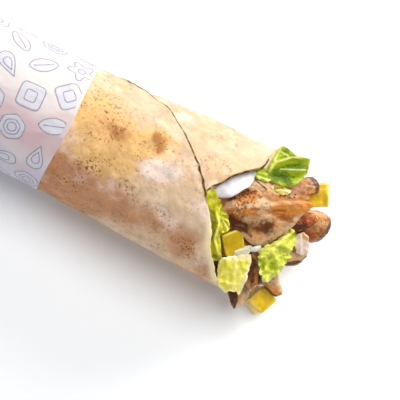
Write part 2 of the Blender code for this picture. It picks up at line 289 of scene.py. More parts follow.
def grid_quads(rows, columns, wrap=False):
    """The quads between neighbours on a grid of points, as point numbers. wrap joins its last column."""
    row, column = np.meshgrid(np.arange(rows - 1), np.arange(columns if wrap else columns - 1), indexing="ij")
    after = (column + 1) % columns
    here, next_row = row * columns, (row + 1) * columns
    corners = [here + column, here + after, next_row + after, next_row + column]
    return np.stack(corners, axis=-1).reshape(-1, 4)


def grid_normals(grid, wrap=False):
    """Unit normals of a grid of points: the cross product of its two directions of travel."""
    if wrap:
        padded = np.concatenate([grid[:, -1:], grid, grid[:, :1]], axis=1)
        across = (padded[:, 2:] - padded[:, :-2]) / 2
    else:
        across = np.gradient(grid, axis=1)
    normal = np.cross(across, np.gradient(grid, axis=0))
    return normal / np.maximum(np.linalg.norm(normal, axis=-1, keepdims=True), 1e-9)


def make_piece(name, points, quads, attributes, material):
    """A mesh object from points in the roll's frame, faces and named values for each point.

    The faces are turned outward, by the sign of the volume they enclose, and points that meet are joined.
    """
    mesh = bpy.data.meshes.new(name)
    points = np.asarray(points).reshape(-1, 3)
    corners = points[quads]
    volume = np.einsum("ij,ij->i", corners[:, 0], np.cross(corners[:, 1], corners[:, 2])).sum()
    volume += np.einsum("ij,ij->i", corners[:, 0], np.cross(corners[:, 2], corners[:, 3])).sum()
    if volume < 0:
        quads = quads[:, ::-1]
    mesh.from_pydata(placed_in_model(points).tolist(), [], quads.tolist())
    for label, values in attributes.items():
        layer = mesh.attributes.new(label, "FLOAT", "POINT")
        layer.data.foreach_set("value", np.asarray(values, dtype=np.float32).ravel())
    bm = bmesh.new()
    bm.from_mesh(mesh)
    bmesh.ops.remove_doubles(bm, verts=bm.verts, dist=JOINED_WITHIN * MM)
    bm.to_mesh(mesh)
    bm.free()
    mesh.shade_smooth()
    mesh.materials.append(material)
    piece = bpy.data.objects.new(name, mesh)
    bpy.context.scene.collection.objects.link(piece)
    return piece


def make_sheet(name, middle, thick, attributes, material):
    """A sheet of a thickness that runs out to nothing at its edges.

    Its two faces are the middle surface moved out and in by half the thickness along its normals. They
    meet where the thickness is nothing.
    """
    rows, columns = middle.shape[:2]
    offset = grid_normals(middle) * np.broadcast_to(thick, (rows, columns))[..., None] / 2
    points = np.concatenate([(middle + offset).reshape(-1, 3), (middle - offset).reshape(-1, 3)])
    quads = grid_quads(rows, columns)
    quads = np.concatenate([quads, quads[:, ::-1] + rows * columns])
    spread = {label: np.broadcast_to(values, (rows, columns)) for label, values in attributes.items()}
    doubled = {label: np.tile(values.ravel(), 2) for label, values in spread.items()}
    return make_piece(name, points, quads, doubled, material)


def finish_piece(piece, slot, *nodes):
    """Rides the piece on the part and has it stand for its solids. The finish slot is not used."""
    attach(piece, "root")
    if nodes:
        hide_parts(*nodes)


# ---------------------------------------------------------------- cut and torn pieces


def closed_outline(corners, count, rounding_width):
    """A smooth closed line through corners.

    Points are spread evenly along the straight sides, then each is averaged with its neighbours within
    the rounding width.
    """
    corners = np.array(corners, dtype=float)
    sides = np.linalg.norm(np.roll(corners, -1, axis=0) - corners, axis=1)
    travelled = np.concatenate([[0], np.cumsum(sides)])
    ring = np.vstack([corners, corners[:1]])
    at = np.linspace(0, travelled[-1], count, endpoint=False)
    line = np.stack([np.interp(at, travelled, ring[:, k]) for k in (0, 1)], axis=1)
    reach = max(int(round(rounding_width / (travelled[-1] / count))), 1)
    window = bump(np.arange(-2 * reach, 2 * reach + 1), 0, reach)
    window /= window.sum()
    smoothed = [sum(w * np.roll(line[:, k], i - 2 * reach) for i, w in enumerate(window)) for k in (0, 1)]
    return np.stack(smoothed, axis=1)


EVEN_UNTIL = 0.88  # share of a slab over which its rings are evenly spaced


def slab_grid(outline, centre, height, thick, boxiness, rings):
    """A closed slab: rings shrink from the outline to the centre over its top and its underside.

    A ring at share r of the outline lies (1 - r^n)^(1/n) of half the thickness above or below the middle
    surface height(along, across), with n the boxiness. Rings are even out to EVEN_UNTIL, then closer. Gives
    the grid and each point's share.
    """
    half = rings // 2
    inner = np.linspace(0, EVEN_UNTIL, half * 2 // 3, endpoint=False)
    first_turn = math.asin(EVEN_UNTIL ** (boxiness / 2))
    turn = np.linspace(first_turn, math.pi / 2, half - len(inner), endpoint=False)
    share = np.concatenate([inner, np.sin(turn) ** (2 / boxiness)])
    lift = (1 - share**boxiness) ** (1 / boxiness)
    share = np.concatenate([share, [1], share[::-1]])[:, None]
    lift = np.concatenate([lift, [0], -lift[::-1]])[:, None]
    flat = np.array(centre) + (outline[None] - np.array(centre)) * share[..., None]
    level = height(flat[..., 0], flat[..., 1])
    up = level + lift * thick / 2
    return np.dstack([flat, up]), share * np.ones(len(outline))


def along_grain(points, yaw):
    """Points turned so that their first number runs along the meat's grain."""
    turn = math.radians(yaw)
    along = points[..., 0] * math.cos(turn) + points[..., 1] * math.sin(turn)
    across = -points[..., 0] * math.sin(turn) + points[..., 1] * math.cos(turn)
    return np.stack([along, across, points[..., 2]], axis=-1)


# How far an outline is rounded, cut or torn, and how squarely a slab's edge turns: slices, then leaves
CUT_ROUNDING, TORN_ROUNDING = 0.9, 0.5
SLICE_BOXINESS, LEAF_BOXINESS = 3.2, 7
RAGGED_CUT = 0.3
MEAT_SWELL, CRISP_GRAIN, CRISP_RIM = 0.5, 0.12, 0.35


def make_slice(name, corners, height, thick, grain, seed, paint=(), rings=60, count=150):
    """A carved slice of roast meat.

    A slab with a soft uneven swell, grooves along the grain and a crisp brown rim. paint adds streaks of
    golden, pale, brown or blush: each a line, the width over which it dies away, and an amount. Some
    streaks are painted light: brown and blush for painted shadow, pale for painted highlights.
    """
    sizes = bpy.context.scene.wrap_sizes
    outline = closed_outline(corners, count, CUT_ROUNDING)
    ragged = rough_noise(np.column_stack([outline, np.full(count, seed)]), 2.5, seed, 3)
    outward = outline - outline.mean(axis=0)
    length = np.linalg.norm(outward, axis=1, keepdims=True)
    outline = outline + RAGGED_CUT * ragged[:, None] * outward / length
    grid, share = slab_grid(outline, outline.mean(axis=0), height, thick, SLICE_BOXINESS, rings)
    normals = grid_normals(grid, wrap=True)
    turned = along_grain(grid, grain)
    swell = MEAT_SWELL * rough_noise(grid, 8, seed + 3, 3)
    grooves = sizes.meat_fibre / MM * rough_noise(turned * np.array([0.18, 1, 1]), 1.5, seed + 5, 3)
    crisp = CRISP_GRAIN * rough_noise(grid, 0.9, seed + 6, 2) * smooth(0.6, 1, share)
    relief = (swell + grooves + crisp) * smooth(0, 0.25, share)
    crisp_rim = CRISP_RIM * smooth(0.84, 1, share) * smooth(-0.5, 0.6, ragged)
    values = {
        "golden": 0.25 + 0.2 * rough_noise(grid, 9, seed + 7, 2),
        "pale": 0.2 + 0.25 * rough_noise(grid, 10, seed + 8, 2),
        "brown": 0.1 + 0.15 * rough_noise(grid, 7, seed + 9, 2) + crisp_rim,
        "blush": 0.1 + 0 * share,
    }
    for kind, line, wide, amount in paint:
        values[kind] = values[kind] + amount * bump(distance_to_line(grid[..., :2], line)[0], 0, wide)
    values = {kind: np.clip(value, 0, 1) for kind, value in values.items()}
    grid = grid + normals * relief[..., None]
    return make_piece(name, grid, grid_quads(len(grid), count, True), values, meat_finish())


def make_leaf(name, corners, height, material, ribs, seed, thick=None, frill=0.8, frill_size=3.0, blister=0.4,
              blister_size=3.2, tear=0.35, rib_width=0.6, side_veins=3.2, folds=(), hollows=(), rings=60,
              count=220):
    """A torn lettuce leaf.

    A thin slab. Its rim rises and falls by a noise that grows with the fourth power of the distance from
    its middle, and it folds along given lines (a line, a height and a width each). The rib attribute is 1
    along the ribs, and less along side veins: straight lines that leave the first rib at a slant, one
    every side_veins millimetres. Between the veins the leaf blisters up. The low attribute is painted shade:
    it is higher where the leaf lies low, and along the hollows given, lines (with a width and an amount)
    where shade falls in its folds; the finish paints it as deeper green.
    """
    thick = thick or bpy.context.scene.wrap_sizes.leaf_thick / MM
    outline = closed_outline(corners, count, TORN_ROUNDING)
    ragged = rough_noise(np.column_stack([outline, np.full(count, seed)]), 1.6, seed, 3)
    middle = outline.mean(axis=0)
    outward = (outline - middle) / np.linalg.norm(outline - middle, axis=1, keepdims=True)
    outline = outline + tear * ragged[:, None] * outward
    grid, share = slab_grid(outline, middle, height, thick, LEAF_BOXINESS, rings)
    flat = grid[..., :2].copy()
    place = np.dstack([flat, 0 * share])
    rise = frill * share**4 * soft_noise(place, frill_size, seed + 4) * 1.6
    for line, tall, wide in folds:
        rise = rise + tall * bump(distance_to_line(flat, line)[0], 0, wide)
    distance, travelled = distance_to_line(flat, ribs[0])
    rib = bump(distance, 0, rib_width)
    veins = np.abs(((travelled - 0.8 * np.abs(distance)) / side_veins) % 1 - 0.5) * side_veins
    rib = np.maximum(rib, 0.5 * bump(veins, 0, 0.3) * smooth(0.3, 1.2, np.abs(distance)))
    for extra in ribs[1:]:
        rib = np.maximum(rib, 0.8 * bump(distance_to_line(flat, extra)[0], 0, 0.6 * rib_width))
    hills = rough_noise(place, blister_size, seed + 9, 3)
    rise = rise + blister * (hills + 0.5 * rib)
    grid[..., 2] += rise
    # painted shade: higher where the leaf lies low and along the shaded hollows
    low = smooth(0.1, -0.9, rise)
    for line, wide, amount in hollows:
        low = low + amount * bump(distance_to_line(flat, line)[0], 0, wide)
    attributes = {"rib": rib, "rim": smooth(0.78, 1, share), "low": np.clip(low, 0, 1)}
    return make_piece(name, grid, grid_quads(len(grid), count, True), attributes, material)


def distance_to_line(points, line):
    """Distance from each point to a line of straight stretches, and how far along it the nearest spot is."""
    line = np.array(line, dtype=float)
    nearest = np.full(points.shape[:-1], np.inf)
    travelled = np.zeros(points.shape[:-1])
    start = 0.0
    for first, second in zip(line[:-1], line[1:]):
        way = second - first
        length = max(np.linalg.norm(way), 1e-6)
        share = np.clip(((points - first) @ way) / length**2, 0, 1)
        gap = np.linalg.norm(points - first - share[..., None] * way, axis=-1)
        travelled = np.where(gap < nearest, start + share * length, travelled)
        nearest = np.minimum(gap, nearest)
        start += length
    return nearest, travelled


# ---------------------------------------------------------------- materials


def node(tree, kind, sockets=None, out=0, **settings):
    """Adds a node and gives back one of its outputs.

    sockets maps an input's name or number to a value, or to the output that feeds it.
    """
    made = tree.nodes.new("ShaderNode" + kind)
    for label, value in settings.items():
        setattr(made, label, value)
    for key, value in (sockets or {}).items():
        if isinstance(value, bpy.types.NodeSocket):
            tree.links.new(value, made.inputs[key])
        else:
            made.inputs[key].default_value = value
    return made.outputs[out]


def new_material(name, shader_sockets):
    """A material whose one Principled shader is fed by shader_sockets(tree, place).

    place is the object-space position, in metres.
    """
    material = bpy.data.materials.get(name)
    if material is not None:
        return material
    material = bpy.data.materials.new(name)
    material.use_nodes = True
    tree = material.node_tree
    tree.nodes.clear()
    place = node(tree, "TexCoord", out="Object")
    shader = node(tree, "BsdfPrincipled", shader_sockets(tree, place))
    node_output = tree.nodes.new("ShaderNodeOutputMaterial")
    tree.links.new(shader, node_output.inputs["Surface"])
    return material


# Settings of a Mix node that lays one colour over another, and of a Map Range node with a soft step
OVER = {"out": 2, "data_type": "RGBA"}
SOFTLY = {"interpolation_type": "SMOOTHSTEP"}


def per(millimetres):
    """Texture scale of a pattern whose features are that far apart."""
    return 1 / (millimetres * MM)


def opaque(colour):
    """A colour socket's four numbers."""
    return (*colour, 1)


def painted(tree, base, fields):
    """Lays colours over a base, each where its attribute's value and a noise together pass a threshold.

    fields holds, for each colour: the attribute, the noise that frays it, the colour, the values where it
    starts and is full, and its greatest share.
    """
    for attribute, noise, colour, low, high, most in fields:
        field = node(tree, "Attribute", out="Fac", attribute_name=attribute)
        frayed = node(tree, "Math", {0: noise, 1: 0.9, 2: field}, operation="MULTIPLY_ADD")
        reach = {"From Min": low + 0.3, "From Max": high + 0.3, "To Max": most}
        share = node(tree, "MapRange", {"Value": frayed, **reach}, **SOFTLY)
        base = node(tree, "Mix", {0: share, 6: base, 7: opaque(colour)}, **OVER)
    return base


def toned(tree, base, noise, darkest, lightest):
    """Darkens a base where a noise is low and lightens it where it is high."""
    reach = {"From Min": 0.35, "From Max": 0.65, "To Min": darkest, "To Max": lightest}
    tone = node(tree, "MapRange", {"Value": noise, **reach})
    return node(tree, "Mix", {0: 1.0, 6: base, 7: tone}, blend_type="MULTIPLY", **OVER)


def lit_through(weight, radius, depth):
    """Shader sockets that let light in under the skin, each colour by its share of a depth."""
    return {"Subsurface Weight": weight, "Subsurface Radius": radius, "Subsurface Scale": depth * MM}


def bread_finish():
    """Griddled flatbread: dry, floury and dull, with toasted freckles, scorched thin edges darkened further
    by painted shadow, and a painted highlight on the near lip.
    """
    colours = bpy.context.scene.wrap_colours

    def sockets(tree, place):
        rim, golden, baked, fold = (node(tree, "Attribute", out="Fac", attribute_name=name)
                                    for name in ("rim", "golden", "baked", "fold"))
        wander = node(tree, "TexNoise", {"Vector": place, "Scale": per(1.2)}, out="Color")
        loose = node(tree, "VectorMath", {0: wander, 1: (0.9 * MM,) * 3, 2: place}, operation="MULTIPLY_ADD")
        grain = {"Rotation": (0, 0, math.radians(-40)), "Scale": (0.5, 1, 1)}
        turned = node(tree, "Mapping", {"Vector": place, **grain})
        cloudy, drift, mottle, streak, fleck = (
            node(tree, "TexNoise", {"Vector": at, "Scale": per(size), "Detail": detail, "Roughness": rough})
            for at, size, detail, rough in ((place, 7, 3, 0.5), (loose, 4, 5, 0.55), (loose, 2.6, 6, 0.75),
                                            (turned, 3.2, 3, 0.6), (loose, 1.1, 3, 0.7))
        )
        base = painted(tree, opaque(colours.dough), (
            ("golden", drift, colours.golden, 0.2, 0.95, 0.95),
            ("baked", mottle, colours.baked, 0.3, 1.0, 0.9),
            ("flour", cloudy, colours.flour, 0.3, 1.0, 0.95),
            ("toast", mottle, colours.toasted, 0.45, 1.3, 0.85),
        ))
        # fine toasted flecks, thickest where the bread is baked, and a few paler grains
        colour = node(tree, "Math", {0: golden, 1: baked}, operation="ADD")
        most = node(tree, "Math", {0: colour, 1: 0.6, 2: -0.05}, operation="MULTIPLY_ADD", use_clamp=True)
        flecks = ((0.54, 0.68, 0.6, colours.toasted), (0.44, 0.3, 0.35, colours.pale_grain))
        for low, high, share, tint in flecks:
            reach = {"From Min": low, "From Max": high, "To Max": share}
            some = node(tree, "MapRange", {"Value": fleck, **reach})
            some = node(tree, "Math", {0: some, 1: most}, operation="MULTIPLY")
            base = node(tree, "Mix", {0: some, 6: base, 7: opaque(tint)}, **OVER)
        # griddle freckles: ragged spots in clusters, most where the bread is golden
        chance = node(tree, "Math", {0: colour, 1: 0.7, 2: 0.15}, operation="MULTIPLY_ADD")
        for size, cluster_size, low in ((0.9, 6, 0.49), (1.5, 9, 0.5)):
            fine = {"Scale": per(size), "Detail": 1, "Roughness": 0.4}
            spots = node(tree, "TexNoise", {"Vector": loose, **fine})
            clusters = node(tree, "TexNoise", {"Vector": turned, "Scale": per(cluster_size), "Detail": 3})
            dots = node(tree, "MapRange", {"Value": spots, "From Min": 0.58, "From Max": 0.68}, **SOFTLY)
            some = node(tree, "MapRange", {"Value": clusters, "From Min": low, "From Max": low + 0.08})
            dots = node(tree, "Math", {0: dots, 1: some}, operation="MULTIPLY")
            dots = node(tree, "Math", {0: dots, 1: chance}, operation="MULTIPLY", use_clamp=True)
            base = node(tree, "Mix", {0: dots, 6: base, 7: opaque(colours.freckle)}, **OVER)
        # mottle and streaks darken and lighten everything a little
        for noise, darkest, lightest in ((mottle, 0.94, 1.05), (streak, 0.94, 1.04), (cloudy, 0.88, 1.08)):
            base = toned(tree, base, noise, darkest, lightest)
        # the thin edge is scorched in a broken line, darkened further by painted shadow of the gap under the
        # lifted edge, with olive-gold beside it in places; fold is a painted highlight on the near lip
        beside = node(tree, "MapRange", {"Value": drift, "From Min": 0.48, "From Max": 0.56, "To Max": 1.3})
        beside = node(tree, "Math", {0: rim, 1: beside}, operation="MULTIPLY", use_clamp=True)
        broken = node(tree, "MapRange", {"Value": mottle, "From Min": 0.4, "From Max": 0.52, "To Min": 0.4})
        thin = node(tree, "MapRange", {"Value": rim, "From Min": 0.2, "From Max": 0.6})
        scorched = node(tree, "Math", {0: thin, 1: broken}, operation="MULTIPLY")
        edges = ((fold, colours.fold), (beside, colours.beside_scorch), (scorched, colours.scorch))
        for share, tint in edges:
            base = node(tree, "Mix", {0: share, 6: base, 7: opaque(tint)}, **OVER)
        relief = node(tree, "Math", {0: drift, 1: mottle}, operation="ADD")
        normal = node(tree, "Bump", {"Height": relief, "Strength": 0.5, "Distance": 0.3 * MM}, out="Normal")
        return {"Base Color": base, "Roughness": 0.72, "IOR": 1.45, "Specular IOR Level": 0.3,
                "Normal": normal, **lit_through(0.1, (1.0, 0.5, 0.25), 1.5)}

    return new_material("griddled flatbread", sockets)


def paper_finish():
    """Greaseproof paper: thin and off-white, warm where the bread touches it, with painted shade: a rose tint
    on the near side of its top and a lilac one by the table.
    """
    colours = bpy.context.scene.wrap_colours

    def sockets(tree, place):
        backed, rose, lilac = (node(tree, "Attribute", out="Fac", attribute_name=name)
                               for name in ("backed", "rose", "lilac"))
        blotch = node(tree, "TexNoise", {"Vector": place, "Scale": per(14), "Detail": 3})
        seen = node(tree, "Math", {0: backed, 1: blotch}, operation="MULTIPLY")
        seen = node(tree, "MapRange", {"Value": seen, "From Min": 0.25, "From Max": 0.65}, **SOFTLY)
        base = opaque(colours.paper)
        washes = ((seen, colours.paper_backed), (rose, colours.paper_rose), (lilac, colours.paper_lilac))
        for share, tint in washes:
            base = node(tree, "Mix", {0: share, 6: base, 7: opaque(tint)}, **OVER)
        fibre = node(tree, "TexNoise", {"Vector": place, "Scale": per(0.7), "Detail": 3, "Roughness": 0.6})
        normal = node(tree, "Bump", {"Height": fibre, "Strength": 0.15, "Distance": 0.1 * MM}, out="Normal")
        return {"Base Color": base, "Roughness": 0.5, "IOR": 1.5, "Specular IOR Level": 0.4, "Normal": normal,
                **lit_through(0.25, (1.0, 0.8, 0.7), 1.0)}

    return new_material("greaseproof paper", sockets)


def ink_finish(name, ink):
    """Flexographic ink: a flat film, a little broken by the paper's tooth."""
    colours = bpy.context.scene.wrap_colours

    def sockets(tree, place):
        tooth = node(tree, "TexNoise", {"Vector": place, "Scale": per(0.5)})
        worn = node(tree, "MapRange", {"Value": tooth, "From Min": 0.45, "From Max": 0.75, "To Max": 0.5})
        base = node(tree, "Mix", {0: worn, 6: opaque(ink), 7: opaque(colours.paper)}, **OVER)
        return {"Base Color": base, "Roughness": 0.6}

    return new_material(name, sockets)


def meat_finish():
    """Roast meat: moist flesh with a grain, pale and golden fields, and crisp brown edges. The pale, brown
    and blush fields also carry the slices' painted highlights and painted shadow.
    """
    colours = bpy.context.scene.wrap_colours

    def sockets(tree, place):
        grain = {"Rotation": (0, 0, math.radians(-28)), "Scale": (0.3, 1, 1)}
        turned = node(tree, "Mapping", {"Vector": place, **grain})
        patch, fine, fibre, bright = (
            node(tree, "TexNoise", {"Vector": at, "Scale": per(size), "Detail": detail, "Roughness": rough,
                                    "Distortion": twist})
            for at, size, detail, rough, twist in ((place, 6, 4, 0.6, 0.4), (place, 1.7, 6, 0.7, 0),
                                                   (turned, 1.5, 5, 0.65, 1), (place, 2.6, 5, 0.7, 0))
        )
        base = painted(tree, opaque(colours.meat), (
            ("pale", patch, colours.meat_pale, 0.35, 0.8, 0.95),
            ("golden", patch, colours.meat_golden, 0.35, 0.85, 0.85),
            ("blush", fine, colours.meat_blush, 0.4, 0.9, 0.85),
            ("brown", fine, colours.meat_brown, 0.4, 0.8, 0.95),
        ))
        # threads of the grain: dark between, and cream along them, partly fat and partly painted highlight
        threads = ((0.52, 0.7, 0.16, colours.meat_brown), (0.43, 0.32, 0.3, colours.meat_pale))
        for low, high, share, tint in threads:
            reach = {"From Min": low, "From Max": high, "To Max": share}
            some = node(tree, "MapRange", {"Value": fibre, **reach})
            base = node(tree, "Mix", {0: some, 6: base, 7: opaque(tint)}, **OVER)
        base = toned(tree, base, bright, 0.74, 1.26)
        relief = node(tree, "Math", {0: fibre, 1: fine}, operation="ADD")
        normal = node(tree, "Bump", {"Height": relief, "Strength": 0.6, "Distance": 0.5 * MM}, out="Normal")
        rough = node(tree, "MapRange", {"Value": fine, "To Min": 0.2, "To Max": 0.55})
        return {"Base Color": base, "Roughness": rough, "IOR": 1.4, "Specular IOR Level": 0.3,
                "Normal": normal, "Coat Weight": 0.3, "Coat Roughness": 0.12,
                **lit_through(0.1, (1.0, 0.35, 0.15), 1.2)}

    return new_material("roast meat", sockets)


def leaf_finish(name, green, deep, rib, edge, edge_share):
    """Lettuce: thin, waxy and lit through, with pale ribs, a pale rim, and painted shade: deeper green where
    it lies low and in its hollows.
    """

    def sockets(tree, place):
        vein, rim, low = (node(tree, "Attribute", out="Fac", attribute_name=name)
                          for name in ("rib", "rim", "low"))
        cloudy = node(tree, "TexNoise", {"Vector": place, "Scale": per(5), "Detail": 5, "Roughness": 0.65})
        net = node(tree, "TexVoronoi", {"Vector": place, "Scale": per(1.6)}, "Distance",
                   feature="DISTANCE_TO_EDGE")
        # the deeper tint follows the painted shade of the low attribute, broken by a noise of the leaf's own
        # tone
        shade = node(tree, "Math", {0: low, 1: 0.45, 2: cloudy}, operation="MULTIPLY_ADD")
        shade = node(tree, "MapRange", {"Value": shade, "From Min": 0.42, "From Max": 0.85}, **SOFTLY)
        lines = node(tree, "MapRange", {"Value": net, "From Min": 0.07, "From Max": 0.02, "To Max": 0.16})
        pale = node(tree, "Math", {0: rim, 1: edge_share}, operation="MULTIPLY")
        base = opaque(green)
        for share, tint in ((shade, deep), (lines, rib), (vein, rib), (pale, edge)):
            base = node(tree, "Mix", {0: share, 6: base, 7: opaque(tint)}, **OVER)
        relief = node(tree, "Math", {0: cloudy, 1: net}, operation="ADD")
        normal = node(tree, "Bump", {"Height": relief, "Strength": 0.4, "Distance": 0.4 * MM}, out="Normal")
        return {"Base Color": base, "Roughness": 0.4, "IOR": 1.4, "Specular IOR Level": 0.3, "Normal": normal,
                **lit_through(0.15, (0.8, 1.0, 0.1), 0.8)}

    return new_material(name, sockets)


def sauce_finish():
    """Yoghurt sauce: dense white, smooth and wet, so it takes soft bright reflections."""
    colours = bpy.context.scene.wrap_colours

    def sockets(tree, place):
        streak = node(tree, "TexNoise", {"Vector": place, "Scale": per(5)})
        normal = node(tree, "Bump", {"Height": streak, "Strength": 0.15, "Distance": 0.5 * MM}, out="Normal")
        return {"Base Color": opaque(colours.sauce), "Roughness": 0.22, "IOR": 1.38, "Normal": normal,
                **lit_through(0.4, (1.0, 0.9, 0.8), 2)}

    return new_material("yoghurt sauce", sockets)


def pickle_finish():
    """Pickled yellow pepper: wet translucent flesh, deeper yellow inside and greener at its cut edges."""
    colours = bpy.context.scene.wrap_colours

    def sockets(tree, place):
        edge, ripe = (node(tree, "Attribute", out="Fac", attribute_name=name) for name in ("edge", "ripe"))
        cloudy = node(tree, "TexNoise", {"Vector": place, "Scale": per(4), "Detail": 3})
        cut = node(tree, "Math", {0: edge, 1: cloudy}, operation="MULTIPLY")
        reach = {"From Min": 0.1, "From Max": 0.5, "To Max": 0.5}
        cut = node(tree, "MapRange", {"Value": cut, **reach}, **SOFTLY)
        # painted shade: dice that lie in shade get the darker olive flesh, by their share
        base = node(tree, "Mix", {0: ripe, 6: opaque(colours.pickle), 7: opaque(colours.pickle_ripe)}, **OVER)
        base = toned(tree, base, cloudy, 0.8, 1.15)
        base = node(tree, "Mix", {0: cut, 6: base, 7: opaque(colours.pickle_edge)}, **OVER)
        fine = node(tree, "TexNoise", {"Vector": place, "Scale": per(1.2), "Detail": 3})
        normal = node(tree, "Bump", {"Height": fine, "Strength": 0.2, "Distance": 0.25 * MM}, out="Normal")
        return {"Base Color": base, "Roughness": 0.2, "IOR": 1.36, "Normal": normal,
                **lit_through(0.7, (1.0, 0.7, 0.1), 4)}

    return new_material("pickled yellow pepper", sockets)


def pepper_finish():
    """Ground black pepper and specks of char: dull, nearly black brown."""
    colours = bpy.context.scene.wrap_colours

    def sockets(tree, place):
        tint = node(tree, "TexNoise", {"Vector": place, "Scale": per(2)})
        shade = node(tree, "MapRange", {"Value": tint, "From Min": 0.3, "From Max": 0.7})
        base = node(tree, "Mix", {0: shade, 6: opaque(colours.pepper), 7: opaque(colours.meat_brown)}, **OVER)
        return {"Base Color": base, "Roughness": 0.7}

    return new_material("ground pepper", sockets)


def floor_finish():
    """White seamless studio paper: even and dull."""
    colours = bpy.context.scene.wrap_colours

    def sockets(tree, place):
        grain = node(tree, "TexNoise", {"Vector": place, "Scale": per(1.5)})
        normal = node(tree, "Bump", {"Height": grain, "Strength": 0.02, "Distance": 0.05 * MM}, out="Normal")
        return {"Base Color": opaque(colours.floor), "Roughness": 0.9, "Specular IOR Level": 0.1,
                "Normal": normal}

    return new_material("white studio paper", sockets)


# ---------------------------------------------------------------- heights of what lies in the mouth


def under_skin(depth, along_slope=0.0, at=90):
    """A middle surface that keeps a depth under the bread's skin, as a lining of the roll does.

    along_slope tips it, per millimetre, from where along is at.
    """

    def height(along, across):
        radius = roll_radius(along) - depth
        level = roll_radius(along) - FLAT_DEPTH + np.sqrt(np.maximum(radius**2 - across**2, 9))
        return level + along_slope * (along - at)

    return height


def tilted(level, at, along_slope=0.0, across_slope=0.0, arch=0.0):
    """A middle surface: a level at a spot, slopes per millimetre, and an arch with the distance squared."""

    def height(along, across):
        ahead, aside = along - at[0], across - at[1]
        return level + along_slope * ahead + across_slope * aside - arch * (ahead**2 + aside**2)

    return height


def ridged(first, second, level, near_slope, far_slope):
    """A middle surface that falls away on both sides of a straight ridge, per millimetre from it."""
    way = np.array(second, dtype=float) - np.array(first)
    way /= np.linalg.norm(way)

    def height(along, across):
        off = (along - first[0]) * way[1] - (across - first[1]) * way[0]
        return level - near_slope * np.maximum(off, 0) - far_slope * np.maximum(-off, 0)

    return height


# ---------------------------------------------------------------- bread


BREAD_COLUMNS, BREAD_COLUMN_RIM = 300, 0.0025
HIDDEN_ROWS, SHOWN_ROWS, SHOWN_ROW_RIM = 18, 130, 0.008
HIDDEN_UNTIL = -9  # the bread behind this, under the sleeve, needs few rows
BLISTER_HEIGHT, PIT_DEPTH = 0.35, 0.16
EDGE_ROUNDING = 0.9
EDGE_CRINKLE, EDGE_LIFT = 0.5, 0.75  # how far the free edge wavers, and how far it stands off


def build_bread():
    """The rolled flatbread.

    Each point's angle runs round the roll from the hidden inner start to the flap's end, and its place
    along from the gathered back to the disc's edge, which is ragged by noise. The skin swells in soft
    hills, is pitted and blistered by finer noise, and lifts off along its free edge.
    """
    sizes = bpy.context.scene.wrap_sizes
    thick = sizes.bread_thick / MM
    columns = edge_spaced(BREAD_COLUMNS, BREAD_COLUMN_RIM)
    angle = SHEET_START + (SHEET_END - SHEET_START) * columns[None]
    edge = mouth_edge(angle)
    ragged = flattened(FLAT_PER_DEGREE * angle, 0 * angle)
    edge = edge + 0.7 * rough_noise(ragged, 9, 3, 4) + 0.25 * rough_noise(ragged, 1.8, 5, 2)
    shown = edge_spaced(SHOWN_ROWS, SHOWN_ROW_RIM)
    shown = shown[shown > SHOWN_ROW_RIM / 2][:, None]
    hidden = np.linspace(0, 1, HIDDEN_ROWS)[:, None]
    behind = BREAD_BACK + (HIDDEN_UNTIL - BREAD_BACK) * hidden + 0 * edge
    along = np.concatenate([behind, HIDDEN_UNTIL + (edge - HIDDEN_UNTIL) * shown])
    angle = np.broadcast_to(angle, along.shape)
    shrink = 1 - BREAD_CLOSED * (1 - rounding(along, BREAD_BACK, BREAD_ROUNDING))
    flat = flattened(along, angle)
    out = smooth(-2, 14, along)
    swell = sizes.bread_swell / MM * rough_noise(flat, 13, 11, 3)
    blisters = BLISTER_HEIGHT * smooth(0.25, 0.8, rough_noise(flat, 4.5, 21, 2))
    pits = -PIT_DEPTH * smooth(0.2, 0.8, rough_noise(flat, 1.7, 31, 2))
    from_edge = edge - along
    crinkle = EDGE_CRINKLE * bump(from_edge, 0, 4) * rough_noise(flat * [0.4, 1, 1], 5, 41, 2)
    lift = EDGE_LIFT * bump(from_edge, 0, 5) * smooth(300, 345, angle)
    relief = (swell + blisters + pits + crinkle) * out + lift
    depth = sheet_depth(along, angle) + thick / 2 - relief
    middle = on_roll(along, angle, depth, shrink)
    middle[..., 2] = np.maximum(middle[..., 2], thick / 2 + 0.1)
    inset = np.clip(from_edge / EDGE_ROUNDING, 0, 1)
    body = round_edge(columns[None], BREAD_COLUMN_RIM) * np.sqrt(1 - (1 - inset) ** 2)
    body = body * (0.72 + 0.28 * smooth(0, 7, from_edge)) * np.ones(along.shape)
    attributes = bread_baking(along, angle, flat)
    # the rim line is scorching and painted shadow of the gap under the free edge, widened where the edge
    # turns away at the silhouette
    scorched = np.maximum(smooth(352, 366, angle), smooth(5, 9, angle) * smooth(110, 90, angle))
    line_width = 0.6 + 0.4 * smooth(340, 370, angle) + 1.4 * smooth(422, 440, angle)
    attributes["rim"] = bump(from_edge, 0.3 * line_width, line_width) * (0.1 + 0.9 * scorched)
    # painted highlight along the rounded near lip where it catches the light
    near_lip = smooth(280, 296, angle) * smooth(350, 338, angle)
    attributes["fold"] = np.clip(0.9 * near_lip * bump(from_edge, 1.0, 1.9), 0, 1)
    piece = make_sheet("flatbread_sheet", middle, thick * body, attributes, bread_finish())
    finish_piece(piece, "bread", "flatbread")


